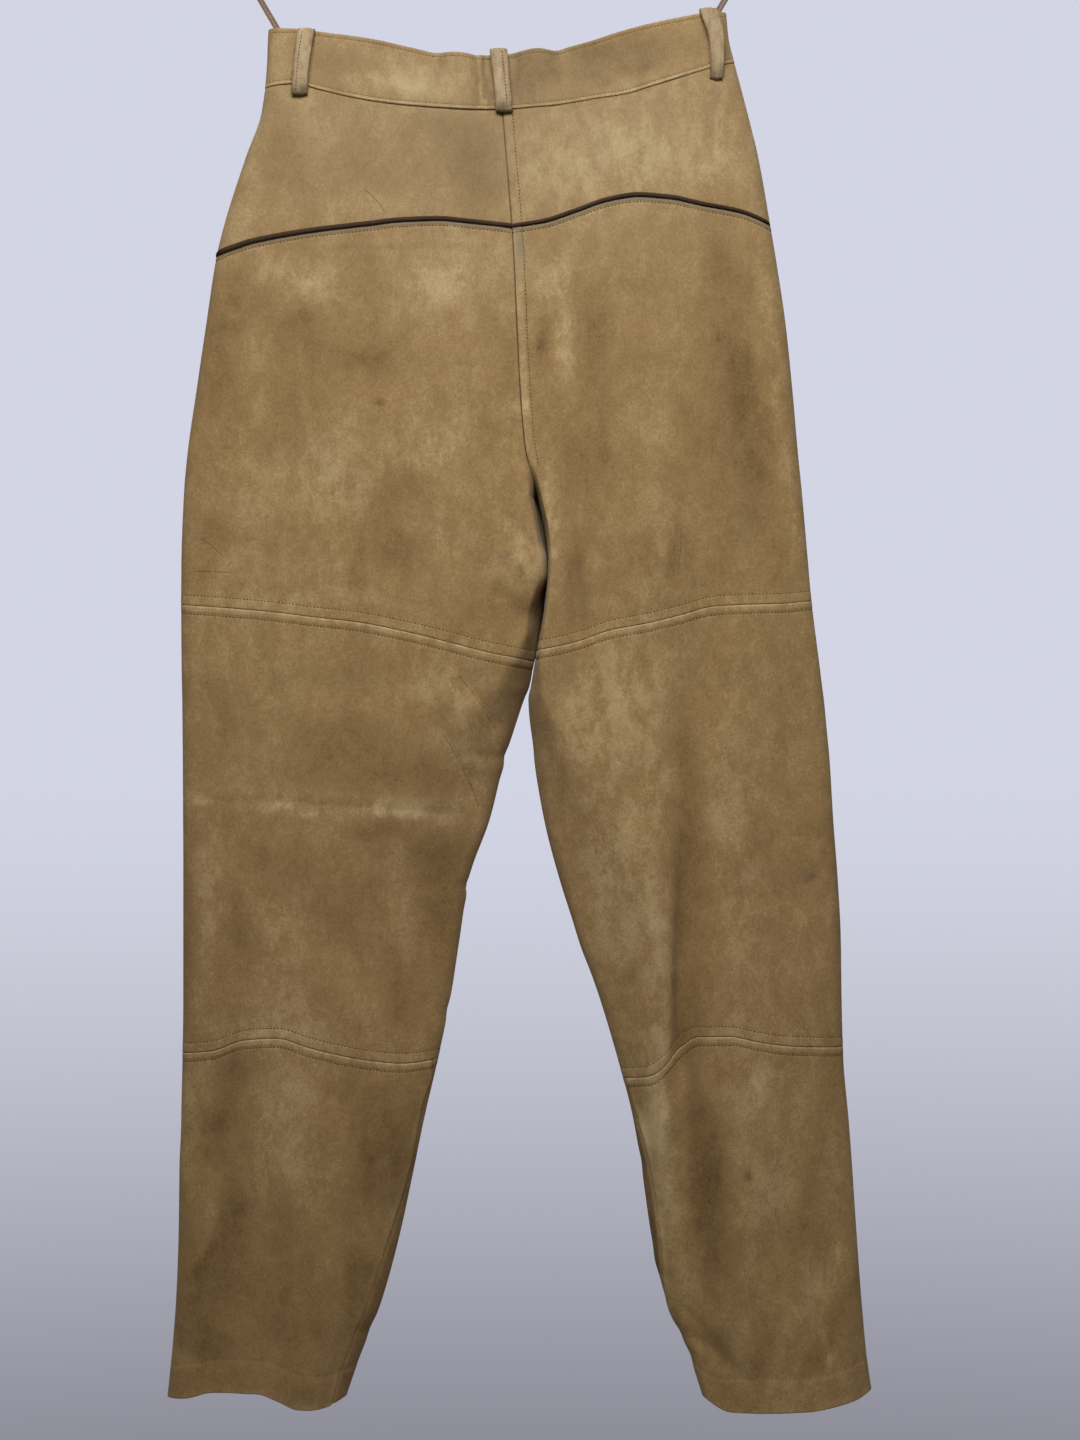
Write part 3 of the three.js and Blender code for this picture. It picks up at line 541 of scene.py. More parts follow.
# strokes along a line, with their own reach on each side: left, right, amount; the dark strokes along folds,
# creases and gathers are painted shade and the light ones beside them painted highlight, the long bands on the
# thigh and the band's worn places are brushed nap
shadeAndNapStrokes = {
    "back": [
        # painted shade and highlight of the gathers, and worn places in the waistband
        (-13, 30, -12, 74, 1.7, 2.2, -0.45), (-8.6, 34, -8, 76, 1.6, 1.6, 0.3),
        (-5, 33, -4.4, 78, 1.5, 1.8, -0.42), (-36, 28, -34, 50, 1.6, 2.4, -0.3),
        (31, 50, 32, 76, 2.6, 3.2, -0.22), (44, 22, 43, 50, 2.4, 3, -0.3),
        (-36, 38, -33, 68, 5, 5, 0.18), (-92, 24, -40, 38, 7, 7, -0.16),
        (-124, 48, -44, 62, 6, 6, 0.14), (18, 34, 22, 70, 3, 12, -0.2), (52, 32, 56, 62, 6, 6, 0.18),
        (70, 30, 80, 60, 6, 14, -0.18), (112, 20, 116, 48, 10, 6, -0.12),
        # yoke and seat
        (-24, 84, -4, 162, 16, 16, -0.14), (-206, 196, -208, 300, 10, 18, -0.14),
        (-110, 250, -100, 320, 16, 26, -0.03), (-174, 240, -184, 420, 12, 14, 0.04),
        # thigh, right
        (164, 160, 184, 290, 10, 14, -0.15), (182, 275, 214, 430, 12, 17, -0.18),
        (200, 172, 232, 420, 8, 9, 0.11), (132, 220, 118, 430, 14, 20, 0.08),
        (84, 215, 78, 365, 20, 12, -0.13), (56, 184, 53, 280, 6, 5, 0.1),
        (43, 340, 47, 420, 3, 5, 0.16), (66, 390, 62, 436, 5, 6, -0.14),
        # knees
        (141, 500, 145, 640, 6, 14, -0.18), (140, 640, 139, 790, 3, 17, -0.24),
        (126, 640, 128, 780, 13, 8, 0.12), (-204, 500, -212, 570, 12, 14, -0.06),
        (-100, 640, -112, 760, 18, 12, -0.08), (-150, 620, -160, 750, 14, 16, 0.06),
        # calf, left
        (-190, 786, -208, 830, 9, 14, -0.18), (-206, 822, -215, 862, 14, 18, -0.2),
        (-192, 872, -203, 912, 7, 10, -0.16), (-226, 790, -224, 886, 6, 8, 0.1),
        (-208, 884, -212, 926, 8, 6, 0.16), (-184, 890, -205, 928, 4, 10, -0.15),
        (-205, 926, -222, 940, 4, 7, -0.16), (-78, 800, -82, 890, 22, 24, -0.24),
        (-96, 930, -108, 1010, 14, 10, -0.13), (-226, 956, -210, 1004, 14, 18, -0.14),
        (-150, 790, -150, 890, 22, 22, 0.08),
        # calf, right
        (148, 800, 157, 930, 5, 22, -0.24), (158, 840, 156, 910, 6, 12, -0.12),
        (158, 925, 166, 965, 7, 18, -0.16), (126, 806, 134, 915, 10, 6, 0.16),
        (188, 800, 200, 900, 16, 24, 0.08), (246, 812, 229, 924, 9, 9, -0.13),
        (274, 944, 230, 1018, 7, 9, -0.16), (250, 925, 226, 975, 12, 12, 0.14),
        (203, 968, 199, 1024, 7, 7, -0.2), (160, 985, 176, 1012, 6, 9, -0.12),
    ],
    "front": [
        # fronts
        (-60, 100, -96, 300, 16, 22, -0.14), (-150, 90, -176, 320, 16, 22, 0.08),
        (96, 110, 124, 330, 20, 14, 0.14), (170, 120, 196, 330, 10, 18, -0.18),
        (-200, 330, -196, 480, 9, 22, -0.16), (30, 250, 36, 330, 4, 12, -0.14),
        (-118, 420, -126, 560, 8, 20, 0.12), (150, 420, 156, 560, 20, 8, 0.1),
        (118, 520, 150, 790, 6, 18, -0.22), (-96, 520, -132, 790, 18, 6, -0.22),
        (-190, 560, -200, 760, 10, 14, 0.1), (220, 560, 226, 760, 14, 10, 0.1),
        (-146, 800, -170, 1010, 14, 8, -0.18), (168, 800, 190, 1010, 8, 16, -0.2),
        (-100, 830, -112, 960, 8, 12, 0.12), (216, 820, 230, 980, 16, 8, 0.12),
    ],
}
# places that carry grey-pink wear or dirt
greyMarks = {
    "back": [
        (0, 80, 270, 120, 0.4), (21, 180, 3.5, 13, 0.75), (20, 200, 3, 10, 0.35),
        (236, 648, 5, 4, 0.35), (36, 420, 6, 22, 0.25), (120, 850, 6, 50, 0.25),
    ],
    "front": [
        (0, 80, 270, 120, 0.4),
    ],
}


# unevenness that draws out the marks' outlines: amount, reach across and down, seed
markDrift = {
    "strength": [(0.25, 8, 11, 77), (0.3, 19, 31, 78)],
    "sideways": [(3.5, 15, 22, 79), (1.6, 5, 6, 80)],
    "down": [(2.6, 15, 15, 81), (1.5, 5, 5, 82)],
    "limit": 0.4,
}


def placedMarks(rows, face, x, drop):
    amount = np.zeros(np.shape(x))
    for markX, markDrop, acrossReach, dropReach, level in rows[face]:
        amount += level * np.exp(-(((x - markX) / acrossReach) ** 2 + ((drop - markDrop) / dropReach) ** 2))
    return amount


# the nap's own patches together with painted shade and highlight along folds, creases and seams
def napAndShadeTone(face, x, drop):
    x, drop = np.asarray(x, float), np.asarray(drop, float)
    strength = drifted(1, markDrift["strength"], x, drop)
    swayed = drifted(x, markDrift["sideways"], x, drop)
    lowered = drifted(drop, markDrift["down"], x, drop)
    amount = placedMarks(napAndShadeMarks, face, swayed, lowered)
    for *line, before, after, level in shadeAndNapStrokes[face]:
        amount = amount + level * alongLine(swayed, lowered, line, before, after)
    return markDrift["limit"] * np.tanh(amount * strength / markDrift["limit"])


# meshes
def addObject(name, mesh, *materials):
    for material in materials:
        mesh.materials.append(material)
    piece = bpy.data.objects.new(name, mesh)
    collection.objects.link(piece)
    return piece


def addPiece(name, mesh, material, node):
    piece = addObject(name, mesh, material)
    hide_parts(node)
    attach(piece, "root")
    return piece


def shadeSmooth(mesh, angle=None):
    mesh.polygons.foreach_set("use_smooth", [True] * len(mesh.polygons))
    if angle is not None:
        mesh.set_sharp_from_angle(angle=math.radians(angle))


def addAttribute(mesh, name, values):
    layer = mesh.attributes.new(name, "FLOAT", "POINT")
    layer.data.foreach_set("value", values.astype(np.float32))


def newMesh(name, points, faces, smoothAngle=None):
    # points in millimetres
    mesh = bpy.data.meshes.new(name)
    mesh.from_pydata((points.reshape(-1, 3) * mm).tolist(), [], faces)
    faceOut(mesh)
    if smoothAngle:
        shadeSmooth(mesh, smoothAngle)
    return mesh


def meshFrom(name, shape):
    mesh = bpy.data.meshes.new(name)
    shape.to_mesh(mesh)
    shape.free()
    return mesh


def faceOut(mesh):
    shape = bmesh.new()
    shape.from_mesh(mesh)
    if shape.calc_volume(signed=True) < 0:
        bmesh.ops.reverse_faces(shape, faces=shape.faces)
    shape.to_mesh(mesh)
    shape.free()


def wallMesh(name, outer, inner, attributes):
    # a closed wall from an outer and an inner grid of points
    rows, columns = outer.shape[:2]
    count = rows * columns
    index = np.arange(count).reshape(rows, columns)
    a, b = index[:-1, :-1].ravel(), index[:-1, 1:].ravel()
    c, d = index[1:, 1:].ravel(), index[1:, :-1].ravel()
    faces = [np.stack([a, d, c, b], 1), np.stack([a, b, c, d], 1) + count]
    for line, turn in ((index[0], False), (index[-1], True), (index[:, 0], True), (index[:, -1], False)):
        first, second = line[:-1], line[1:]
        rim = np.stack([first, second, second + count, first + count], 1)
        faces.append(rim[:, ::-1] if turn else rim)
    points = np.concatenate([outer.reshape(-1, 3), inner.reshape(-1, 3)])
    mesh = newMesh(name, points, np.concatenate(faces).tolist(), 50)
    for key, values in attributes.items():
        addAttribute(mesh, key, np.concatenate([values.ravel(), values.ravel()]))
    return mesh


def tubeFaces(rows, sides):
    index = np.arange(rows * sides).reshape(rows, sides)
    nextIndex = np.roll(index, -1, axis=1)
    quads = np.stack([index[:-1], nextIndex[:-1], nextIndex[1:], index[1:]], -1).reshape(-1, 4).tolist()
    return quads + [index[0][::-1].tolist(), index[-1].tolist()]


def sweptMesh(name, centres, acrossLine, section):
    # a closed tube: the section's (across, out) points set on each centre
    centres = np.asarray(centres, float)
    forward = np.gradient(centres, axis=0)
    forward /= np.linalg.norm(forward, axis=1, keepdims=True)
    across = np.broadcast_to(np.asarray(acrossLine, float), centres.shape)
    across = across - forward * (across * forward).sum(1, keepdims=True)
    across = across / np.linalg.norm(across, axis=1, keepdims=True)
    out = np.cross(forward, across)
    if section.ndim == 2:
        section = np.broadcast_to(section, (len(centres),) + section.shape)
    rings = centres[:, None] + across[:, None] * section[..., 0:1] + out[:, None] * section[..., 1:2]
    return newMesh(name, rings, tubeFaces(len(centres), rings.shape[1]), 60)


def anglesRound(sides):
    return np.linspace(0, 2 * math.pi, sides + 1)[:-1]


def roundedBar(width, thick, corner=4, dents=(), crown=0.0):
    # outline of a strap's section; dents are the (place, depth) of sewn lines on its upper side
    upperPoints, lowerPoints, dentReach = 15, 5, 0.7
    radius = thick / 2
    half = width / 2 - radius
    points = []
    for x in np.linspace(half, -half, upperPoints):
        dip = sum(depth * math.exp(-(((x - place) / dentReach) ** 2)) for place, depth in dents)
        points.append((x, radius - dip + crown * (1 - (x / half) ** 2)))
    turn = [math.pi / 2 + math.pi * k / corner for k in range(1, corner)]
    points += [(-half + radius * math.cos(angle), radius * math.sin(angle)) for angle in turn]
    points += [(x, -radius) for x in np.linspace(-half, half, lowerPoints)]
    points += [(half - radius * math.cos(angle), -radius * math.sin(angle)) for angle in turn]
    return np.array(points)


# materials
def newMaterial(name):
    material = bpy.data.materials.new(name)
    material.use_nodes = True
    tree = material.node_tree
    return material, tree, tree.nodes["Principled BSDF"]


def setInputs(tree, node, inputs):
    # each input gets a link from another node's output, or a fixed value
    for key, value in inputs.items():
        if isinstance(value, bpy.types.NodeSocket):
            tree.links.new(value, node.inputs[key])
        else:
            node.inputs[key].default_value = value


def newNode(tree, kind, inputs=None, **settings):
    node = tree.nodes.new(kind)
    for key, value in settings.items():
        setattr(node, key, value)
    setInputs(tree, node, inputs or {})
    return node


def noiseNode(tree, vector, scale, detail=3, roughness=0.55, distortion=0.0):
    inputs = {"Vector": vector, "Scale": scale, "Detail": detail, "Roughness": roughness}
    inputs["Distortion"] = distortion
    return newNode(tree, "ShaderNodeTexNoise", inputs).outputs["Fac"]


def mathNode(tree, operation, first, second):
    return newNode(tree, "ShaderNodeMath", {0: first, 1: second}, operation=operation).outputs[0]


def weighted(tree, parts, base=0.0):
    # sum of (value - 0.5) * weight, on top of base
    total = None
    for value, weight in parts:
        scaled = mathNode(tree, "MULTIPLY", mathNode(tree, "SUBTRACT", value, 0.5), weight)
        total = scaled if total is None else mathNode(tree, "ADD", total, scaled)
    return mathNode(tree, "ADD", total, base)


def opaque(colour):
    return (*colour, 1)


def rampNode(tree, factor, stops):
    node = newNode(tree, "ShaderNodeValToRGB", {"Fac": factor})
    elements = node.color_ramp.elements
    for element, (place, colour) in zip((elements[0], elements[1]), (stops[0], stops[-1])):
        element.position, element.color = place, opaque(colour)
    for place, colour in stops[1:-1]:
        elements.new(place).color = opaque(colour)
    return node.outputs["Color"]


def mapRange(tree, value, low, high):
    inputs = {"From Min": low, "From Max": high, "Value": value}
    return newNode(tree, "ShaderNodeMapRange", inputs, interpolation_type="SMOOTHSTEP").outputs["Result"]


def mixColour(tree, factor, first, second):
    inputs = {0: factor, 6: first, 7: second}
    return newNode(tree, "ShaderNodeMix", inputs, data_type="RGBA").outputs[2]


def attributeNode(tree, name):
    return newNode(tree, "ShaderNodeAttribute", attribute_name=name).outputs["Fac"]


def stretched(tree, scale):
    coords = newNode(tree, "ShaderNodeTexCoord").outputs["Object"]
    return newNode(tree, "ShaderNodeMapping", {"Scale": scale, "Vector": coords}).outputs["Vector"]


def bumpNode(tree, height, strength, distance, normal=None):
    inputs = {"Strength": strength, "Distance": distance, "Height": height}
    if normal is not None:
        inputs["Normal"] = normal
    return newNode(tree, "ShaderNodeBump", inputs).outputs["Normal"]


suedeLook = {
    "dark": (0.14, 0.078, 0.028), "mid": (0.335, 0.218, 0.095), "light": (0.6, 0.462, 0.252),
    "grey": (0.257, 0.204, 0.13),
    "speckle": 0.55, "sheen": 0.18, "sheenTint": (0.92, 0.8, 0.6), "sheenSpread": 0.55, "rough": 0.95,
    "gloss": 0.1,
    # noises: scale, detail, roughness, distortion
    "broad": (9, 3, 0.5), "cloud": (26, 6, 0.66, 1.1), "mottle": (120, 4, 0.65, 0.5), "tuft": (420, 2, 0.6),
    "fleck": (900, 2, 0.75), "drift": (26, 4, 0.6, 0.6), "patch": (70, 7, 0.7, 0.2), "nap": (900, 2, 0.6),
    "patchEdge": (0.4, 0.6), "brokenBy": 0.6,
    "weights": {"broad": 0.2, "cloud": 0.42, "drift": 0.2, "patch": 0.085, "mottle": 0.3, "tuft": 0.3},
    "flat": (1, 0.7, 0.6), "hair": (1, 1, 0.86), "long": (1, 0.7, 0.28),     # how each grain is stretched
    "napBump": (0.5, 0.0005), "mottleBump": (0.22, 0.0012),
}


def makeSuede(name, look):
    material, tree, shader = newMaterial(name)
    flat, hair, long = (stretched(tree, look[grain]) for grain in ("flat", "hair", "long"))
    weights = look["weights"]
    mottle = noiseNode(tree, hair, *look["mottle"])
    # brushed patches with a clear outline, which also break up the placed marks
    patch = mapRange(tree, noiseNode(tree, flat, *look["patch"]), *look["patchEdge"])
    broken = mathNode(tree, "MULTIPLY", patch, look["brokenBy"])
    broken = mathNode(tree, "ADD", broken, 1 - look["brokenBy"] / 2)
    # the tone attribute carries the nap's patches and the painted shade and highlight of folds, seams and edges
    tone = mathNode(tree, "ADD", mathNode(tree, "MULTIPLY", attributeNode(tree, "tone"), broken), 0.5)
    parts = [
        (noiseNode(tree, flat, *look["broad"]), weights["broad"]),
        (noiseNode(tree, flat, *look["cloud"]), weights["cloud"]),
        (noiseNode(tree, long, *look["drift"]), weights["drift"]),
        (patch, weights["patch"]), (mottle, weights["mottle"]),
        (noiseNode(tree, hair, *look["tuft"]), weights["tuft"]),
        (noiseNode(tree, hair, *look["fleck"]), look["speckle"]), (tone, 1.0),
    ]
    shades = [(0.0, look["dark"]), (0.5, look["mid"]), (1.0, look["light"])]
    colour = rampNode(tree, weighted(tree, parts, 0.5), shades)
    grey = mathNode(tree, "MULTIPLY", attributeNode(tree, "grey"), mathNode(tree, "ADD", mottle, 0.5))
    nap = noiseNode(tree, hair, *look["nap"])
    setInputs(tree, shader, {
        "Base Color": mixColour(tree, grey, colour, opaque(look["grey"])),
        "Roughness": look["rough"],
        "Specular IOR Level": look["gloss"],
        "Sheen Weight": look["sheen"],
        "Sheen Roughness": look["sheenSpread"],
        "Sheen Tint": opaque(look["sheenTint"]),
        "Normal": bumpNode(tree, nap, *look["napBump"], bumpNode(tree, mottle, *look["mottleBump"])),
    })
    return material


def makePlain(name, dark, light, scale, roughness, bump, spread=0.6, gloss=0.5):
    material, tree, shader = newMaterial(name)
    coords = stretched(tree, (1, 1, 1))
    grain = noiseNode(tree, coords, scale, 4, 0.6)
    wide = noiseNode(tree, coords, scale * 0.08, 3, 0.5)
    factor = weighted(tree, [(grain, spread), (wide, spread)], 0.5)
    setInputs(tree, shader, {
        "Base Color": rampNode(tree, factor, [(0.2, dark), (0.8, light)]),
        "Roughness": roughness,
        "Specular IOR Level": gloss,
        "Normal": bumpNode(tree, grain, bump, 0.0004),
    })
    return material


def makeTape(name, dark, light):
    # narrow woven tape: fine ribs along it
    material, tree, shader = newMaterial(name)
    coords = stretched(tree, (1, 1, 1))
    inputs = {"Scale": 420, "Distortion": 1.2, "Vector": coords}
    rib = newNode(tree, "ShaderNodeTexWave", inputs, wave_type="BANDS", bands_direction="Z").outputs["Fac"]
    factor = weighted(tree, [(rib, 0.45), (noiseNode(tree, coords, 500, 3, 0.6), 0.5)], 0.5)
    setInputs(tree, shader, {
        "Base Color": rampNode(tree, factor, [(0.2, dark), (0.85, light)]),
        "Roughness": 0.8,
        "Normal": bumpNode(tree, rib, 0.5, 0.0003),
    })
    return material


suede = makeSuede("tanSuede", suedeLook)
loopLook = dict(suedeLook, dark=(0.15, 0.1, 0.05), mid=(0.4, 0.3, 0.18), light=(0.6, 0.48, 0.31), speckle=0.6)
loopSuede = makeSuede("wornLoopSuede", loopLook)
pipingLeather = makePlain(
    "pipingLeather", (0.03, 0.016, 0.01), (0.075, 0.045, 0.028), 900, 0.75, 0.3, 0.6, 0.15)
# painted shade: the thread is made much darker than the suede to stand for the shade of the grooves and needle
# holes it sits in; it also colours the crease hairlines and the button thread
shadedThread = makePlain("shadedThread", (0.1, 0.058, 0.022), (0.17, 0.105, 0.042), 700, 0.8, 0.3, 0.6, 0.1)
bandThread = makePlain("bandThread", (0.19, 0.12, 0.055), (0.28, 0.19, 0.09), 700, 0.8, 0.3, 0.6, 0.1)
loopTape = makeTape("loopTape", (0.085, 0.05, 0.028), (0.3, 0.2, 0.115))
hornBrown = makePlain("hornBrown", (0.035, 0.018, 0.009), (0.16, 0.09, 0.045), 220, 0.28, 0.05, 1.1)
hangerPlastic = makePlain(
    "hangerPlastic", (0.018, 0.016, 0.015), (0.032, 0.029, 0.027), 350, 0.6, 0.03, 0.6, 0.3)


# camera, light and floor
view = {"x": 36, "height": -721, "away": 1800, "lens": 60}
studio = {
    "floor": -2.1, "floorSize": 5.4, "floorColour": (0.74, 0.745, 0.79), "floorGlow": 0.4, "floorSides": 128,
    "bright": (0.65, 0.665, 0.775), "dim": (0.17, 0.17, 0.2),   # the backdrop, above and towards the floor
    "air": (0.085, 0.071, 0.058), "lampColour": (1, 0.985, 0.96),    # light from all round, and the lamps'
    "lampSize": (0.85, 0.6), "lamp": (-0.02, -1.2, 0.5), "aim": (0.04, 0.0, -0.2), "lampPower": 26,
    "frontLamp": (0.3, 1.3, 0.45), "frontPower": 20,
}


def addCamera():
    camera = bpy.data.cameras.new("camera")
    camera.lens = view["lens"]
    camera.clip_end = 50
    lookout = bpy.data.objects.new("camera", camera)
    lookout.location = Vector((view["x"], -view["away"], view["height"])) * mm
    lookout.rotation_euler = (math.pi / 2, 0, 0)
    collection.objects.link(lookout)
    scene.camera = lookout


def addLamp(name, place, power):
    light = bpy.data.lights.new(name, "AREA")
    light.shape = "RECTANGLE"
    light.size, light.size_y = studio["lampSize"]
    light.energy = power
    light.color = studio["lampColour"]
    lamp = bpy.data.objects.new(name, light)
    lamp.location = place
    lamp.rotation_euler = (Vector(studio["aim"]) - Vector(place)).to_track_quat("-Z", "Y").to_euler()
    collection.objects.link(lamp)


def seenByCamera(tree):
    return newNode(tree, "ShaderNodeLightPath").outputs["Is Camera Ray"]


def addStudio():
    # a pale backdrop all round, darker towards the floor, and a lamp before each side of the trousers
    world = bpy.data.worlds.new("studio")
    world.use_nodes = True
    scene.world = world
    tree = world.node_tree
    coords = newNode(tree, "ShaderNodeTexCoord").outputs["Generated"]
    split = newNode(tree, "ShaderNodeSeparateXYZ", {"Vector": coords})
    upward = mapRange(tree, split.outputs["Z"], -0.4, 0.0)
    backdrop = mixColour(tree, upward, opaque(studio["dim"]), opaque(studio["bright"]))
    seen = mixColour(tree, seenByCamera(tree), opaque(studio["air"]), backdrop)
    tree.links.new(seen, tree.nodes["Background"].inputs["Color"])
    addLamp("softLamp", studio["lamp"], studio["lampPower"])
    addLamp("frontLamp", studio["frontLamp"], studio["frontPower"])
    material, tree, shader = newMaterial("floor")
    # the floor's own glow is only seen, and lights nothing
    setInputs(tree, shader, {
        "Base Color": opaque(studio["floorColour"]),
        "Emission Color": opaque(studio["floorColour"]),
        "Emission Strength": mathNode(tree, "MULTIPLY", seenByCamera(tree), studio["floorGlow"]),
        "Roughness": 0.9,
    })
    disc = bmesh.new()
    place = Matrix.Translation((0, 0, studio["floor"]))
    radius = studio["floorSize"] / 2
    bmesh.ops.create_circle(disc, cap_ends=True, segments=studio["floorSides"], radius=radius, matrix=place)
    addObject("floor", meshFrom("floor", disc), material)


addCamera()
addStudio()
print("camera, light and floor are set")


# cut pieces of suede
edgeSteps = [0, 0.3, 0.7, 1.2, 1.9, 2.6, 3.1, 3.7, 4.3, 5.2, 6.2, 7.0, 7.7, 8.6, 10, 12, 14.5]
hemSteps = [0, 0.3, 0.7, 1.2, 2.5, 5, 9, 14, 18, 21, 23, 24, 25, 26, 28]
middleStep = {"back": 2.5, "front": 4.6}
panelCut = {
    "waveFade": 24, "creaseFade": 6, "reliefFade": 9, "endRelief": 0.2, "innerBody": 0.8, "tucked": 2,
    "toneOver": 3, "toneFade": 8, "pipingWear": 0.75, "wearFrom": 2.2, "wearFade": 0.8,
}
inseams = {
    # where the front of each lower leg wraps round to the back
    "drops": [800, 815, 862, 912, 960, 999, 1040],
    "left": [-44, -50, -59.5, -74, -90, -105.5, -118],
    "right": [100, 104, 117, 124.5, 128.5, 137, 147],
    "depth": -0.9, "width": 0.9, "lip": 0.7, "lipAt": -2.6, "lipWidth": 1.7,
    # the wrap values paint shade on the strip beyond the inseam, where the leg turns away
    "wrapShade": {"left": -0.1, "right": -0.45}, "wrapFade": 2.5,
    "lipTone": 0.16, "toneAt": -2.2, "toneWidth": 1.8,
}


def stationsFor(length, startSteps, endSteps, step):
    start, end = np.array(startSteps), np.array(endSteps)
    middle = max(int(round((length - start[-1] - end[-1]) / step)), 2)
    return start, np.linspace(0, 1, middle + 1)[1:-1], end


def panelGrid(side, face, topSeam, bottomSeam):
    # across and drop of every point: close rows beside the seams, wide ones between
    topMiddle = float(seamDrop(topSeam, side, 0.5))
    length = float(seamDrop(bottomSeam, side, 0.5)) - topMiddle
    lowSteps = hemSteps if bottomSeam == "hem" else edgeSteps
    start, middle, end = stationsFor(length, edgeSteps, lowSteps, middleStep[face])
    outer, inner = edgesAt(side, topMiddle + length / 2)
    width = abs(float(inner - outer))
    near, between, far = stationsFor(width, edgeSteps, edgeSteps, middleStep[face])
    shares = np.concatenate([start * 0, middle, end * 0])[:, None]
    wide = np.full((len(shares), 1), width)
    for attempt in range(2):
        # the second time with the width at each point's own drop
        first, last = wide[:, :1], wide[:, -1:]
        room = first - near[-1] - far[-1]
        parts = [near / first, (near[-1] + between * room) / first, 1 - far[::-1] / last]
        across = np.clip(np.concatenate(parts, axis=1), 0, 1)
        top = seamDrop(topSeam, side, across) + trousers["seamGap"]
        bottom = seamDrop(bottomSeam, side, across) - trousers["seamGap"]
        low, high = top + start[-1], bottom - end[-1]
        drop = low + (high - low) * shares
        drop[:len(start)] = top[:len(start)] + start[:, None]
        drop[-len(end):] = bottom[-len(end):] - end[::-1, None]
        outer, inner = edgesAt(side, drop)
        wide = np.abs(inner - outer)
    return across, drop


def suedePanel(side, face, topSeam, bottomSeam, edges, name, node):
    # edges are the kinds of the panel's top, bottom, outer and inner edge
    across, drop = panelGrid(side, face, topSeam, bottomSeam)
    base = clothPoint(side, face, across, drop)
    normal = clothNormal(side, face, across, drop)
    x = base[..., 0]
    steps = np.linalg.norm(np.diff(base, axis=1), axis=2)
    fromSide = np.concatenate([np.zeros((len(steps), 1)), np.cumsum(steps, axis=1)], axis=1)
    fromInner = fromSide[:, -1:] - fromSide
    fromTop = drop - seamDrop(topSeam, side, across)
    fromBottom = seamDrop(bottomSeam, side, across) - drop
    distances = (fromTop, fromBottom, fromSide, fromInner)
    shut = closing(face, drop)

    def calmed(lift, reach):
        return lift * smooth(fromSide / reach) * (1 - shut * (1 - smooth(fromInner / reach)))

    body = calmed(softWaves(x, drop, face), panelCut["waveFade"])
    body = body + calmed(foldLift(creases, side, face, x, drop), panelCut["creaseFade"])
    ends = smooth(np.minimum(fromSide, fromInner) / panelCut["reliefFade"])
    ends = panelCut["endRelief"] + (1 - panelCut["endRelief"]) * ends
    above, below, beside, within = [edgeForms[kind](distance) for kind, distance in zip(edges, distances)]
    opened = 1 if edges[-1] == "side" else (1 - shut ** turnPower) ** 2
    relief = (above + below) * ends + beside + within * opened
    nearest = np.minimum(np.minimum(fromTop, fromBottom), np.minimum(fromSide, fromInner))
    tone = napAndShadeTone(face, x, drop) * smooth((nearest + panelCut["toneOver"]) / panelCut["toneFade"])
    # painted shade in seam gaps and painted highlight on raised lips beside each edge
    for kind, distance in zip(edges, distances):
        tone = tone + edgeTone(kind, distance)
    grey = placedMarks(greyMarks, face, x, drop)
    # painted shade: darker along the left leg's inner edge, where it turns into the slit between the legs
    if (side, face) == ("left", "back") and edges[1] == "aboveCross":
        gap = smoothCurve(crotch["gapDrops"], crotch["gap"], drop) / max(crotch["gap"])
        beyond = smooth((fromInner - crotch["slitReach"]) / crotch["slitFade"])
        tone = tone + crotch["slitShade"] * gap * (1 - beyond)
    if topSeam == "piping":
        beyond = smooth((fromTop - panelCut["wearFrom"]) / panelCut["wearFade"])
        grey = grey + panelCut["pipingWear"] * (1 - beyond)
    if face == "back" and bottomSeam == "hem":
        past = (x - smoothCurve(inseams["drops"], inseams[side], drop)) * inwardOf(side)
        relief = relief + inseams["depth"] * swell(past, inseams["width"])
        relief = relief + inseams["lip"] * swell(past - inseams["lipAt"], inseams["lipWidth"])
        # painted shade on the strip beyond the inseam, where the leg turns away
        tone = tone + inseams["wrapShade"][side] * smooth(past / inseams["wrapFade"])
        tone = tone + inseams["lipTone"] * swell(past - inseams["toneAt"], inseams["toneWidth"])
    outer = base + normal * (body + relief)[..., None]
    inner = base + normal * (panelCut["innerBody"] * body - trousers["suede"])[..., None]
    mesh = wallMesh(name, outer, inner, {"tone": tone, "grey": grey})
    piece = addPiece(name, mesh, suede, node)
    return {"outer": outer, "normal": normal, "drop": drop}


# rows of stitches lie a little proud of the suede
stitchLines = []
sewing = {"proud": 0.12, "skip": 4, "seatColumn": 342, "yokeColumn": 1000}


def sewRow(grid, row, end=sewing["skip"]):
    columns = slice(sewing["skip"], grid["outer"].shape[1] - end)
    stitchLines.append(grid["outer"][row, columns] + grid["normal"][row, columns] * sewing["proud"])


def sewColumn(grid, column, lowest):
    keep = grid["drop"][:, column] < lowest
    stitchLines.append(grid["outer"][keep, column] + grid["normal"][keep, column] * sewing["proud"])


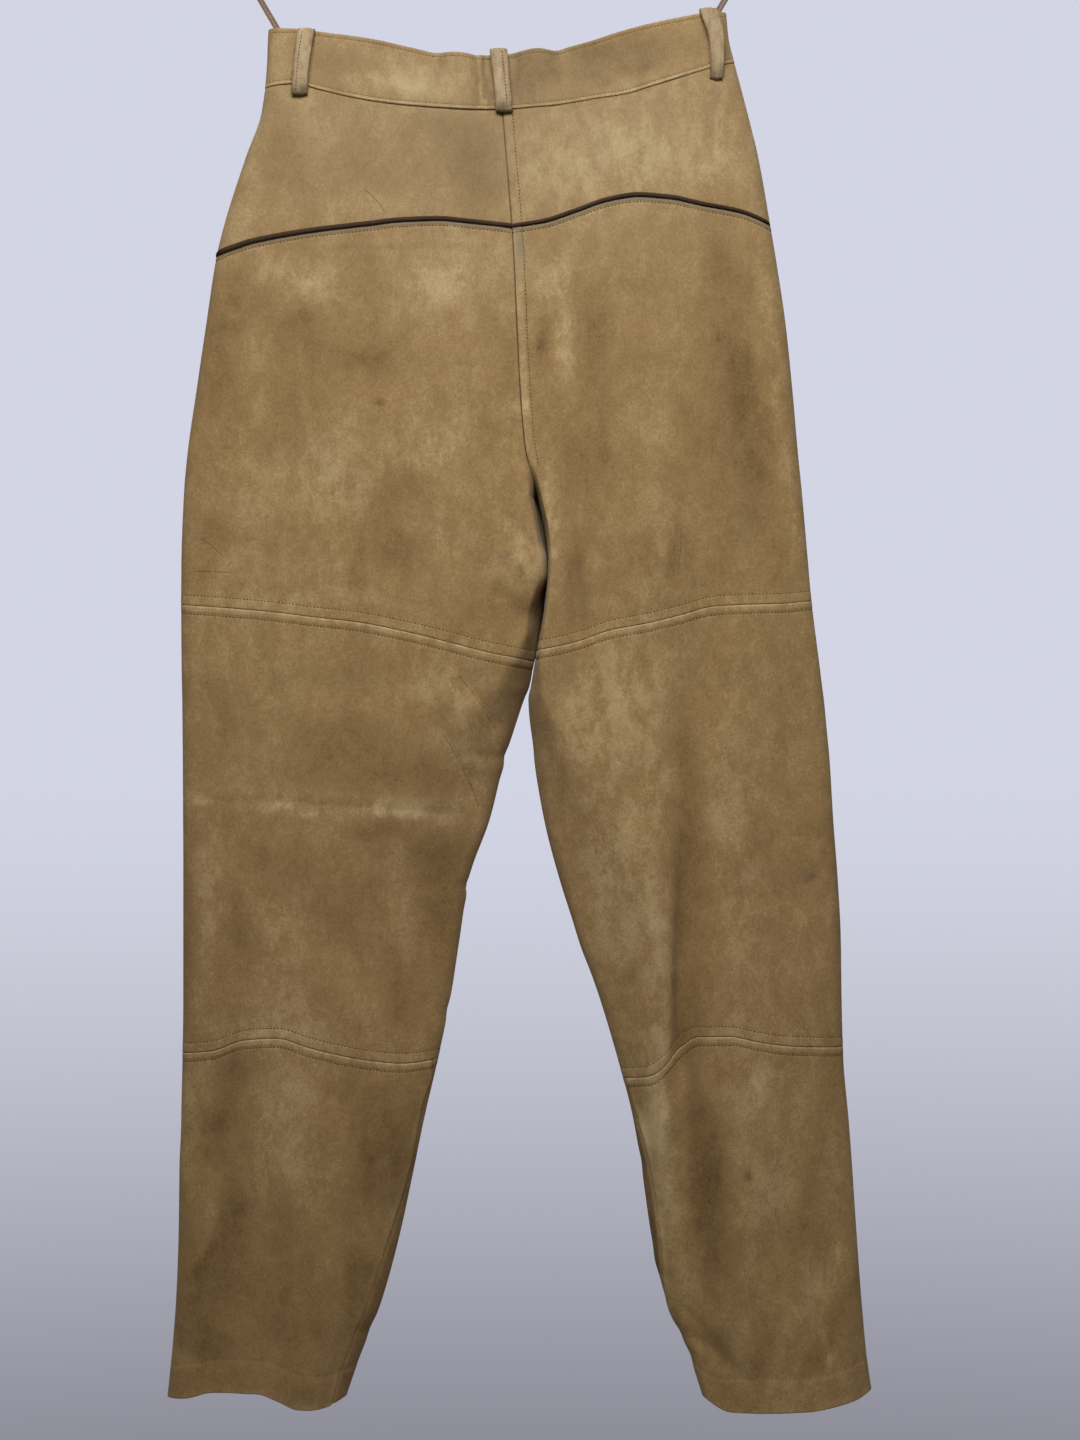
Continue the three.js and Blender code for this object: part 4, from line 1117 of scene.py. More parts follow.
def addPanels(side):
    belowSeam, aboveSeam = edgeSteps.index(stitchAt["crossLow"]), -1 - edgeSteps.index(stitchAt["cross"])
    yokeCentre, seatCentre = {"left": ("centrePlain", "centrePlain"), "right": ("yokeWelt", "centreWelt")}[side]
    end = side.capitalize()
    yoke = suedePanel(side, "back", "bandBottom", "piping", ("underBand", "abovePiping", "side", yokeCentre),
                      "yoke" + end, "back_yoke_" + side)
    seat = suedePanel(side, "back", "piping", "thigh", ("belowPiping", "aboveCross", "side", seatCentre),
                      "seat" + end, "back_thigh_" + side)
    sewRow(seat, edgeSteps.index(stitchAt["piping"]), 1)
    sewRow(seat, aboveSeam)
    if side == "right":
        welt = -1 - edgeSteps.index(stitchAt["centre"])
        sewColumn(yoke, welt, sewing["yokeColumn"])
        sewColumn(seat, welt, sewing["seatColumn"])
    front = suedePanel(side, "front", "bandBottom", "thigh", ("underBand", "aboveCross", "side", "centrePlain"),
                       "front" + end, "front_top_" + side)
    sewRow(front, aboveSeam)
    for face in ("back", "front"):
        knee = suedePanel(side, face, "thigh", "knee", ("belowCross", "aboveCross", "side", "side"),
                          face + "Knee" + end, face + "_knee_" + side)
        sewRow(knee, belowSeam)
        sewRow(knee, aboveSeam)
        calf = suedePanel(side, face, "knee", "hem", ("belowCross", "hem", "side", "side"),
                          face + "Calf" + end, face + "_calf_" + side)
        sewRow(calf, belowSeam)
    print("suede panels cut and hung:", side)


for legSide in ("left", "right"):
    addPanels(legSide)


# waistband
bandCut = {
    "tabLength": 30, "tabRamp": 10, "tabSteps": 12, "tabClear": 0.4, "step": 1.8, "rows": 14, "middle": 45,
    # the centre values dip and paint shade into the band's centre back seam
    "calm": 20, "waves": 0.5, "endRelief": 0.2, "centreDip": (1.4, 0.8), "centreShade": -0.5, "centreReach": 1.2,
    "near": [0, 0.4, 1.2, 2.4, 4, 6, 8.5, 11, 14], "far": [7, 5, 3.4, 2.2, 1.4, 0.8, 0.4, 0],
    "edge": [0, 0.3, 0.7, 1.2, 1.9, 2.6, 3.2, 3.8, 4.5, 5.5, 7], "overSeam": 0.1, "tall": 1.1,
    "rippleDrop": 40,
}
bandStitchLines = []


def bandDrops(side, face, across):
    # close rows beside both edges
    x = clothPoint(side, face, across, bandCut["rippleDrop"])[0]
    top = seamDrop("bandTop", side, across) + topRipple(face, x)
    bottom = seamDrop("bandBottom", side, across) - bandCut["overSeam"]
    edge = np.array(bandCut["edge"])
    low, high = top + edge[-1], bottom - edge[-1]
    middle = low + (high - low) * np.linspace(0, 1, bandCut["rows"])[1:-1]
    return np.concatenate([top + edge, middle, bottom - edge[::-1]])


def widthAt(side, drop):
    outer, inner = edgesAt(side, drop)
    return abs(float(inner - outer))


def bandPlans(side, shares):
    # each column of the band as half, face, place across and whether it is on the tab past the centre
    plans = [(side, "back", across, False) for across in shares[::-1]]
    plans += [(side, "front", across, False) for across in shares[1:]]
    if side == "right":
        for k in range(1, bandCut["tabSteps"] + 1):
            across = 1 - bandCut["tabLength"] * k / bandCut["tabSteps"] / widthAt("left", bandCut["middle"])
            plans.append(("left", "front", across, True))
    return plans


def addWaistband(side):
    width = widthAt(side, bandCut["middle"])
    near, far = np.array(bandCut["near"]) / width, 1 - np.array(bandCut["far"]) / width
    middle = np.linspace(near[-1], far[0], int(width / bandCut["step"]))[1:-1]
    shares = np.concatenate([near, middle, far])
    columns = {"outer": [], "inner": [], "tone": [], "grey": []}
    for half, face, across, past in bandPlans(side, shares):
        drops = bandDrops(half, face, across)
        base = clothPoint(half, face, across, drops)
        normal = clothNormal(half, face, across, drops)
        x = base[:, 0]
        fromTop, fromBottom = drops - drops[0], drops[-1] - drops
        lift = np.zeros(drops.shape)
        if side == "right" and face == "front":
            clear = trousers["band"] + bandCut["tabClear"]
            reach = np.abs(x - edgesAt("right", drops)[1])
            lift = lift + (clear if past else clear * smooth(1 - (reach - 1) / bandCut["tabRamp"]))
        calm = smooth(np.abs(x - edgesAt(half, drops)[0]) / bandCut["calm"])
        waves = softWaves(x, drops, face) * bandCut["waves"] * calm + foldLift(creases, half, face, x, drops)
        relief = edgeForms["bandTop"](fromTop) + edgeForms["bandFoot"](fromBottom)
        relief = relief * (bandCut["endRelief"] + (1 - bandCut["endRelief"]) * calm)
        tone = napAndShadeTone(face, x, drops) + edgeTone("bandTop", fromTop) + edgeTone("bandFoot", fromBottom)
        if face == "back":
            fromCentre = width * (1 - across)
            relief = relief + seamDip(fromCentre, *bandCut["centreDip"])
            # painted shade in the gap of the centre back seam
            tone = tone + bandCut["centreShade"] * math.exp(-fromCentre / bandCut["centreReach"])
        back = turnedIn(fromTop) + turnedIn(fromBottom)
        columns["outer"].append(base + normal * (lift + waves + relief)[:, None])
        columns["inner"].append(base + normal * (lift + waves - trousers["band"] - back)[:, None])
        columns["tone"].append(tone)
        columns["grey"].append(placedMarks(greyMarks, face, x, drops))
    grids = {key: np.stack(values, 1) for key, values in columns.items()}
    outer = grids.pop("outer")
    name = "waistband" + side.capitalize()
    mesh = wallMesh(name, outer, grids.pop("inner"), grids)
    piece = addPiece(name, mesh, suede, "waistband_" + side)
    proud = np.array([0, -sewing["proud"], 0])
    half, skip = len(shares), sewing["skip"]
    edge = bandCut["edge"]
    for row in (edge.index(stitchAt["bandTop"]), -1 - edge.index(stitchAt["bandFoot"])):
        bandStitchLines.append(outer[row, 2:half - skip] + proud)
        bandStitchLines.append(outer[row, half + skip:-skip] - proud)


for bandSide in ("left", "right"):
    addWaistband(bandSide)
print("waistband sewn on")


# piping
pipingCut = {
    "lift": 1.0, "rise": 1.4, "sink": 2.4, "sinkReach": 9, "waveFade": 24, "sides": 16,
    "stations": [(0.0005, 0.06, 14), (0.07, 0.9985, 90)],
    "radius": {"left": [2.0, 1.9, 1.8, 1.7, 1.6], "right": [1.3, 1.5, 1.7, 1.5, 1.45]},
}


def addPiping(side):
    across = np.concatenate([np.linspace(*run) for run in pipingCut["stations"]])
    drop = seamDrop("piping", side, across) - pipingCut["rise"]
    normal = clothNormal(side, "back", across, drop)
    base = clothPoint(side, "back", across, drop)
    fromSide = lengthsAlong(base)
    waves = softWaves(base[:, 0], drop, "back") * smooth(fromSide / pipingCut["waveFade"])
    lift = pipingCut["lift"] - pipingCut["sink"] * (1 - smooth(fromSide / pipingCut["sinkReach"]))
    centres = base + normal * (lift + waves)[:, None]
    angles = anglesRound(pipingCut["sides"])
    radii = pipingCut["radius"][side]
    radius = smoothCurve(np.linspace(0, 1, len(radii)), radii, across)
    section = np.stack([np.cos(angles), np.sin(angles)], 1) * radius[:, None, None]
    name = "piping" + side.capitalize()
    addPiece(name, sweptMesh(name, centres, (0, 0, 1), section), pipingLeather, "piping_" + side)


for pipingSide in ("left", "right"):
    addPiping(pipingSide)
print("piping let in")


# belt loops
loopCut = {
    "width": 12.6, "thick": 2.1, "crown": 0.5, "tuck": 8, "turn": 1.25, "near": 0.5, "flat": 4, "bowPower": 0.8,
    "endShift": 0.6, "bowFrom": 1.7, "turnSteps": 8, "bowSteps": 32, "corner": 5, "sewnDent": 0.35,
    "pressedDent": 0.5, "flare": 0.05, "narrowFrom": 0.35, "stitched": (11, 42),
    # wear holds the hide's uneven tone and painted shade: darker at the foot and along the long edges
    "wear": {"waves": (3, 6, 5), "uneven": 0.16, "foot": -0.5, "footReach": 0.2, "edge": -0.35, "edgePower": 5},
    "dirt": {"all": 0.12, "uneven": 0.2, "foot": 0.25, "footReach": 0.3},
}
beltLoops = [
    {"name": "beltLoopCentre", "node": "belt_loop_centre", "face": "back", "lean": 0.2, "x": 5, "top": 32,
     "footX": 9.5, "foot": 79.3, "stand": 2.6, "narrow": 0.04, "sewn": [2.4], "pressed": [-4.2]},
    {"name": "beltLoopBackLeft", "node": "belt_loop_back_left", "face": "back", "lean": -0.5, "x": -138,
     "top": 16, "footX": -143, "foot": 64.8, "stand": 2.8, "narrow": 0.1, "sewn": [-2.6], "pressed": [4.4]},
    {"name": "beltLoopBackRight", "node": "belt_loop_back_right", "face": "back", "lean": 3.0, "x": 161,
     "top": 0.6, "footX": 167, "foot": 53, "stand": 4.8, "narrow": 0.28, "sewn": [], "pressed": [-3.6, 3.9]},
    {"name": "beltLoopFrontLeft", "node": "belt_loop_front_left", "face": "front", "lean": 0.2, "x": -92,
     "top": 18.5, "footX": -94, "foot": 73, "stand": 2.6, "narrow": 0.06, "sewn": [-2.6], "pressed": [4.2]},
    {"name": "beltLoopFrontRight", "node": "belt_loop_front_right", "face": "front", "lean": -0.2, "x": 104,
     "top": 13.5, "footX": 107, "foot": 66, "stand": 2.6, "narrow": 0.06, "sewn": [2.6], "pressed": [-4.2]},
]
loopStitchLines = []


def beltLoopLine(loop):
    # (drop, lift) from the end tucked under at the top, over the bow, to the end tucked under at the foot
    turn, top, foot, shift = loopCut["turn"], loop["top"], loop["foot"], loopCut["endShift"]
    low = loopCut["near"] + loopCut["thick"] / 2
    angles = [math.pi * k / loopCut["turnSteps"] for k in range(loopCut["turnSteps"] + 1)]
    stops = [(top + loopCut["tuck"], low), (top + loopCut["flat"], low)]
    stops += [(top + turn - turn * math.sin(a) + shift, low + turn - turn * math.cos(a)) for a in angles]
    for k in range(1, loopCut["bowSteps"]):
        t = k / loopCut["bowSteps"]
        bow = loop["stand"] * math.sin(math.pi * t) ** loopCut["bowPower"]
        drop = top + loopCut["bowFrom"] + (foot - top - 2 * loopCut["bowFrom"]) * t
        stops.append((drop, low + 2 * turn + bow))
    stops += [(foot - turn + turn * math.sin(a) - shift, low + turn + turn * math.cos(a)) for a in angles]
    return stops + [(foot - loopCut["flat"], low), (foot - loopCut["tuck"], low)]


def addBeltLoop(loop):
    sign = -outwardOf(loop["face"])
    centres, shares = [], []
    for drop, lift in beltLoopLine(loop):
        share = min(max((drop - loop["top"]) / (loop["foot"] - loop["top"]), 0), 1)
        x = loop["x"] + (loop["footX"] - loop["x"]) * share + loop["lean"] * math.sin(math.pi * share)
        centres.append(onCloth(loop["face"], x, drop, lift))
        shares.append(share)
    centres, shares = np.array(centres), np.array(shares)
    dents = [(sign * place, loopCut["sewnDent"]) for place in loop["sewn"]]
    dents += [(sign * place, loopCut["pressedDent"]) for place in loop["pressed"]]
    section = roundedBar(loopCut["width"], loopCut["thick"], loopCut["corner"], dents, loopCut["crown"])
    flare = 1 + loopCut["flare"] * np.cos(2 * math.pi * shares)
    flare = flare - loop["narrow"] * smooth((shares - loopCut["narrowFrom"]) / (1 - loopCut["narrowFrom"]))
    sections = section[None] * np.stack([flare, np.ones(len(flare))], 1)[:, None, :]
    mesh = sweptMesh(loop["name"], centres, (sign, 0, 0), sections)
    place = np.empty(len(mesh.vertices) * 3)
    mesh.vertices.foreach_get("co", place)
    place = place.reshape(-1, 3) / mm
    low, high = place[:, 2].min(), place[:, 2].max()
    fromFoot = (place[:, 2] - low) / (high - low)
    wear, dirt = loopCut["wear"], loopCut["dirt"]
    across, down, seed = wear["waves"]
    uneven = softNoise(place[:, 0] / across, place[:, 2] / down, seed)
    # painted shade: darker towards both long edges, where the strap turns away
    spread = np.tile(np.abs(section[:, 0]) / loopCut["width"] * 2, len(place) // len(section))
    # painted shade: darker at the foot, where the strap tucks under; the uneven part is the hide's own tone
    worn = wear["uneven"] * uneven + wear["foot"] * smooth(1 - fromFoot / wear["footReach"])
    addAttribute(mesh, "tone", worn + wear["edge"] * spread ** wear["edgePower"])
    soiled = dirt["all"] + dirt["uneven"] * uneven + dirt["foot"] * smooth(1 - fromFoot / dirt["footReach"])
    addAttribute(mesh, "grey", soiled)
    addPiece(loop["name"], mesh, loopSuede, loop["node"])
    outward = np.array([0, -sign, 0]) * (loopCut["thick"] / 2 + loopCut["crown"] * 0.5)
    for place in loop["sewn"]:
        loopStitchLines.append(centres[slice(*loopCut["stitched"])] + outward + np.array([place, 0, 0]))


for beltLoop in beltLoops:
    addBeltLoop(beltLoop)
print("belt loops sewn on")


# fly lap
flyCut = {
    "width": 36, "past": 5, "top": 77.5, "length": 165, "curve": 34, "thick": 1.2, "lift": 0.35, "stitch": 4,
    "rows": 52, "crowding": 1.5, "near": [0, 0.3, 0.8, 1.5, 2.5, 3.4, 4, 4.6, 6], "middle": 9,
    "foot": 0.04, "waves": 0.9, "turned": 0.7, "dent": 0.4, "wear": 0.18, "wearReach": 2.5,
    "stitchEnd": 8, "stitchProud": 0.1, "leastShare": 0.004, "rimLeast": 0.01,
    "flat": (0.041, 0.165), "area": 0.0062,
}


def flyWidth(drop):
    left = flyCut["top"] + flyCut["length"] - drop
    curved = math.sqrt(1 - (1 - min(max(left / flyCut["curve"], flyCut["leastShare"]), 1)) ** 2)
    return (flyCut["width"] + flyCut["past"]) * (flyCut["foot"] + (1 - flyCut["foot"]) * curved)


def addFlyLap():
    shares = 1 - (1 - np.linspace(0, 1, flyCut["rows"])) ** flyCut["crowding"]
    near = np.array(flyCut["near"])
    stitchColumn = -1 - flyCut["near"].index(flyCut["stitch"])
    outer, inner, tones, greys, stitchLine = [], [], [], [], []
    for drop in flyCut["top"] + flyCut["length"] * shares:
        width = flyWidth(drop)
        start = float(sectionAt("leftInner", drop)) - flyCut["past"]
        edge = np.minimum(near, width * 0.5 * near / near[-1])
        middle = np.linspace(edge[-1], width - edge[-1], flyCut["middle"])[1:-1]
        spots = np.concatenate([edge, middle, width - edge[::-1]])
        fromFoot = flyCut["top"] + flyCut["length"] - drop
        outerRow, innerRow = [], []
        for spot in spots:
            x = start + spot
            side, across = placeOn("front", x, drop)
            normal = clothNormal(side, "front", across, drop)
            wave = float(softWaves(x, drop, "front")) * flyCut["waves"]
            base = clothPoint(side, "front", across, drop) + normal * (wave + flyCut["lift"])
            rim = min(spot, width - spot, fromFoot + flyCut["rimLeast"])
            height = flyCut["thick"] + float(turnedIn(rim, flyCut["turned"]))
            height = height + float(groove(width - spot, flyCut["stitch"], flyCut["dent"]))
            outerRow.append(base + normal * height)
            innerRow.append(base)
            if spot == spots[stitchColumn]:
                stitchLine.append(base + normal * (height + flyCut["stitchProud"]))
        outer.append(outerRow)
        inner.append(innerRow)
        worn = flyCut["wear"] * np.exp(-np.minimum(spots, width - spots) / flyCut["wearReach"])
        tones.append(napAndShadeTone("front", start + spots, drop) + worn)
        greys.append(placedMarks(greyMarks, "front", start + spots, drop))
    attributes = {"tone": np.array(tones), "grey": np.array(greys)}
    mesh = wallMesh("flyLap", np.array(outer), np.array(inner), attributes)
    piece = addPiece("flyLap", mesh, suede, "fly_lap")
    stitchLines.append(np.array(stitchLine[:-flyCut["stitchEnd"]]))


addFlyLap()
print("fly lap laid over the zip")


# hanger loops
tapeCut = {
    "width": 2.25, "thick": 0.9, "apart": 1.16, "spread": 0.05, "corner": 3, "clear": 0.3, "inside": -1.6,
    "inBand": 20, "bandEnd": 0.6, "fromCorner": 6.5, "riseSteps": 8, "turnSteps": 14,
    "low": -8, "start": 4, "top": 10, "riseEnd": 22, "crest": 1, "bandAcross": 0.03, "aboveBand": 1,
}
hangerCut = {
    "tilt": 0.033, "reach": 219, "notch": 205, "notchDepth": 3, "notchHalf": 5, "neck": -62, "slope": 63,
    "bend": 1.25, "height": 17, "tipHeight": 11, "thick": 8, "tip": 5, "steps": 221, "sides": 40,
    "square": 0.62, "least": 1e-4,     # the least size keeps the closed tips from folding onto a line
    "hookRadius": 21, "hookThick": 6, "hookSides": 16, "hookSteps": 110, "hookEnd": 8, "hookTaper": 0.97,
    "hookDegrees": (-35, 201, 11.75), "neckBend": [(0, -8), (0, 0), (0.4, 7), (5, 15)], "smoothAngle": 75,
}


def armTop(x):
    return hangerCut["neck"] - hangerCut["slope"] * (np.abs(x) / hangerCut["notch"]) ** hangerCut["bend"]


def tilted(points):
    turn = hangerCut["tilt"]
    points = np.asarray(points, float)
    x, y, z = points[..., 0], points[..., 1], points[..., 2]
    return np.stack([x * math.cos(turn) - z * math.sin(turn), y, x * math.sin(turn) + z * math.cos(turn)], -1)


def strand(length, direction, gap):
    # one run of the tape from inside the band up to the arm: (rise, out, across)
    inside, start, apart = tapeCut["inside"], tapeCut["start"], tapeCut["apart"] * direction
    stops = [(-tapeCut["inBand"], inside - tapeCut["bandEnd"], apart), (tapeCut["low"], inside, apart),
             (start, inside, apart)]
    for k in range(1, tapeCut["riseSteps"]):
        t = k / tapeCut["riseSteps"]
        spread = direction * tapeCut["spread"] * math.sin(math.pi * t)
        rise = start + (length - start - tapeCut["riseEnd"]) * t
        stops.append((rise, inside + (direction * gap - inside) * t, apart + spread))
    return stops + [(length - tapeCut["top"], direction * gap, apart)]


def addHangLoop(side):
    inward = inwardOf(side)
    turnPoint = tilted([-inward * hangerCut["notch"], 0, armTop(hangerCut["notch"]) - hangerCut["notchDepth"]])
    bandTop = float(seamDrop("bandTop", side, tapeCut["bandAcross"]))
    corner = float(edgesAt(side, bandTop)[0]) + inward * tapeCut["fromCorner"]
    leave = np.array([corner, 0, trousers["waistHeight"] - bandTop + tapeCut["aboveBand"]])
    rise = turnPoint - leave
    length = float(np.linalg.norm(rise))
    rise = rise / length
    across = np.array([rise[2], 0, -rise[0]])
    gap = hangerCut["thick"] / 2 + tapeCut["clear"] + tapeCut["thick"] / 2
    stops = strand(length, -1, gap)
    for k in range(tapeCut["turnSteps"] + 1):
        angle = math.pi * k / tapeCut["turnSteps"]
        crest = length - tapeCut["crest"] + gap * math.sin(angle)
        stops.append((crest, -gap * math.cos(angle), -tapeCut["apart"] * math.cos(angle)))
    stops += strand(length, 1, gap)[::-1]
    centres = np.array([leave + rise * a + across * s + np.array([0, y, 0]) for a, y, s in stops])
    section = roundedBar(tapeCut["width"], tapeCut["thick"], tapeCut["corner"])
    name = "hangLoop" + side.capitalize()
    addPiece(name, sweptMesh(name, centres, across, section), loopTape, "hang_loop_" + side)


for hangSide in ("left", "right"):
    addHangLoop(hangSide)
print("hanger loops hung over the arms")


# hanger
def hangerArms():
    x = np.linspace(-hangerCut["reach"], hangerCut["reach"], hangerCut["steps"])
    out = np.abs(x)
    height = hangerCut["height"] + (hangerCut["tipHeight"] - hangerCut["height"]) * out / hangerCut["reach"]
    centre = armTop(x) - height / 2
    cut = hangerCut["notchDepth"] * np.clip(1 - np.abs(out - hangerCut["notch"]) / hangerCut["notchHalf"], 0, 1)
    tip = np.sqrt(1 - (1 - np.clip((hangerCut["reach"] - out) / hangerCut["tip"], 0, 1)) ** 2)
    angles = anglesRound(hangerCut["sides"])
    turns = np.cos(angles), np.sin(angles)
    side, up = (np.sign(turn) * np.abs(turn) ** hangerCut["square"] for turn in turns)
    least = hangerCut["least"]
    depth = side * hangerCut["thick"] / 2 * tip[:, None] + least * np.cos(angles)
    rise = up * (height / 2)[:, None] * tip[:, None] + least * np.sin(angles)
    rise = rise - cut[:, None] * np.clip(up, 0, 1) ** 2
    flat = np.zeros(depth.shape)
    return np.stack([x[:, None] + flat, depth, centre[:, None] + rise], -1)


def hookLine():
    ring = hangerCut["hookRadius"] + hangerCut["hookThick"] / 2
    stops = [(x, hangerCut["neck"] + rise) for x, rise in hangerCut["neckBend"]]
    for angle in np.radians(np.arange(*hangerCut["hookDegrees"])):
        stops.append((ring * math.cos(angle), -hangerCut["hookRadius"] + ring * math.sin(angle)))
    stops = np.array(stops)
    along = lengthsAlong(stops)
    fine = np.linspace(0, along[-1], hangerCut["hookSteps"])
    x, z = (smoothCurve(along, stops[:, k], fine) for k in (0, 1))
    return np.stack([x, np.zeros(len(fine)), z], 1)


def addHanger():
    arms = tilted(hangerArms())
    line = tilted(hookLine())
    angles = anglesRound(hangerCut["hookSides"])
    taper, end = np.ones(len(line)), hangerCut["hookEnd"]
    taper[-end:] = np.sqrt(1 - np.linspace(0, hangerCut["hookTaper"], end) ** 2)
    section = np.stack([np.cos(angles), np.sin(angles)], 1)[None]
    section = section * (taper * hangerCut["hookThick"] / 2)[:, None, None]
    shape = bmesh.new()
    shape.from_mesh(newMesh("hangerArms", arms, tubeFaces(*arms.shape[:2])))
    shape.from_mesh(sweptMesh("hook", line, (0, 1, 0), section))
    mesh = meshFrom("hanger", shape)
    shadeSmooth(mesh, hangerCut["smoothAngle"])
    addPiece("plainHanger", mesh, hangerPlastic, "hanger")


addHanger()
print("hanger made")


# waist button
buttonCut = {
    "radius": 8.5, "thick": 3.2, "rim": 1.1, "dish": 0.7, "hole": 1.05, "holeOut": 1.52, "x": -12, "drop": 56,
    "clear": 0.3, "steps": 48, "holeSides": 16, "smoothAngle": 35, "centre": 0.01,
    "edge": [(1.6, 0), (0.5, 0.5), (0, 1.5), (0.15, 2.4), (0.7, 3.2)],     # (inward from the radius, up)
    "dishEdge": [(0.6, 0), (1.4, 0.8), (2.6, 1)],     # (inward from the rim, share of the dish)
    "threads": (-0.35, 0.0, 0.35), "threadSteps": 9, "threadSink": 0.9, "threadBow": 1.25,
}


def buttonProfile():
    # (out, up) from the middle of the foot, over the rim, to the middle of the dish
    radius, thick, dish = buttonCut["radius"], buttonCut["thick"], buttonCut["dish"]
    profile = [(buttonCut["centre"], 0)] + [(radius - inward, up) for inward, up in buttonCut["edge"]]
    for inward, share in buttonCut["dishEdge"]:
        profile.append((radius - buttonCut["rim"] - inward, thick - dish * share))
    return profile + [(buttonCut["centre"], thick - dish)]


def buttonBlank():
    steps = buttonCut["steps"]
    shape = bmesh.new()
    rings = []
    for out, up in buttonProfile():
        angles = [2 * math.pi * k / steps for k in range(steps)]
        rings.append([shape.verts.new((out * math.cos(a), out * math.sin(a), up)) for a in angles])
    for lower, upper in zip(rings, rings[1:]):
        for k in range(steps):
            following = (k + 1) % steps
            shape.faces.new((lower[k], lower[following], upper[following], upper[k]))
    shape.faces.new(rings[0][::-1])
    shape.faces.new(rings[-1])
    mesh = meshFrom("button", shape)
    faceOut(mesh)
    return addObject("buttonBlank", mesh)


def buttonDrill():
    drill = bmesh.new()
    out, hole, thick = buttonCut["holeOut"], buttonCut["hole"], buttonCut["thick"]
    for sx, sy in ((1, 1), (1, -1), (-1, 1), (-1, -1)):
        spot = Matrix.Translation((sx * out, sy * out, thick / 2))
        bmesh.ops.create_cone(drill, cap_ends=True, segments=buttonCut["holeSides"], radius1=hole, radius2=hole,
                              depth=thick * 3, matrix=spot)
    return addObject("drill", meshFrom("drill", drill))


def evaluatedMesh(piece):
    graph = bpy.context.evaluated_depsgraph_get()
    return bpy.data.meshes.new_from_object(piece.evaluated_get(graph))


def addButton():
    x, drop = buttonCut["x"], buttonCut["drop"]
    centre = onCloth("front", x, drop, trousers["band"] + bandCut["tabClear"] + buttonCut["clear"])
    side, across = placeOn("front", x, drop)
    out = Vector(clothNormal(side, "front", across, drop))
    place = Matrix.Translation(Vector(centre)) @ out.to_track_quat("Z", "Y").to_matrix().to_4x4()
    blank, drill = buttonBlank(), buttonDrill()
    cut = blank.modifiers.new("holes", "BOOLEAN")
    cut.operation, cut.solver, cut.object = "DIFFERENCE", "EXACT", drill
    drilled = evaluatedMesh(blank)
    for helper in (blank, drill):
        bpy.data.objects.remove(helper)
    drilled.transform(Matrix.Scale(mm, 4) @ place)
    shadeSmooth(drilled, buttonCut["smoothAngle"])
    addPiece("waistButton", drilled, hornBrown, "waist_button")
    threads, reach = [], buttonCut["holeOut"]
    low = buttonCut["thick"] - buttonCut["dish"] - buttonCut["threadSink"]
    for sy in (1, -1):
        for shift in buttonCut["threads"]:
            line = []
            for t in np.linspace(0, 1, buttonCut["threadSteps"]):
                bow = buttonCut["threadBow"] * math.sqrt(max(math.sin(math.pi * t), 0))
                line.append(place @ Vector((reach * (1 - 2 * t), sy * reach + shift, low + bow)))
            threads.append(np.array(line))
    return threads


buttonThreads = addButton()
print("button sewn on")


# stitches
stitching = {"pitch": 2.7, "length": 1.9, "thick": 0.7, "seed": 11}
bead = {"Segments": 6, "Rings": 4, "Radius": 0.5}
beadSizes = {2: 0.85, 3: 1.12}     # the least and the greatest, by the node's sockets


def stitchTree():
    tree = bpy.data.node_groups.new("threadStitches", "GeometryNodeTree")
    for label, kind in (
        ("Lines", "Geometry"), ("Pitch", "Float"), ("Length", "Float"), ("Thickness", "Float"), ("Seed", "Int"),
        ("Thread", "Material"),
    ):
        tree.interface.new_socket(label, in_out="INPUT", socket_type="NodeSocket" + kind)
    tree.interface.new_socket("Stitches", in_out="OUTPUT", socket_type="NodeSocketGeometry")
    entry = newNode(tree, "NodeGroupInput").outputs
    curve = newNode(tree, "GeometryNodeMeshToCurve", {"Mesh": entry["Lines"]}).outputs["Curve"]
    spacing = {"Curve": curve, "Length": entry["Pitch"]}
    spaced = newNode(tree, "GeometryNodeResampleCurve", spacing, mode="LENGTH")
    size = newNode(tree, "ShaderNodeCombineXYZ", {
        "X": entry["Length"], "Y": entry["Thickness"], "Z": entry["Thickness"],
    }).outputs["Vector"]
    ball = newNode(tree, "GeometryNodeMeshUVSphere", bead).outputs["Mesh"]
    stitch = newNode(tree, "GeometryNodeTransform", {"Geometry": ball, "Scale": size}).outputs["Geometry"]
    tangent = newNode(tree, "GeometryNodeInputTangent").outputs["Tangent"]
    align = newNode(tree, "FunctionNodeAlignRotationToVector", {"Vector": tangent}, axis="X")
    sizes = dict(beadSizes, Seed=entry["Seed"])
    vary = newNode(tree, "FunctionNodeRandomValue", sizes, data_type="FLOAT")
    placed = newNode(tree, "GeometryNodeInstanceOnPoints", {
        "Points": spaced.outputs["Curve"], "Instance": stitch, "Rotation": align.outputs["Rotation"],
        "Scale": vary.outputs[1],
    }).outputs["Instances"]
    real = newNode(tree, "GeometryNodeRealizeInstances", {"Geometry": placed}).outputs["Geometry"]
    painted = newNode(tree, "GeometryNodeSetMaterial", {"Geometry": real, "Material": entry["Thread"]})
    newNode(tree, "NodeGroupOutput", {"Stitches": painted.outputs["Geometry"]})
    return tree


threadTree = stitchTree()


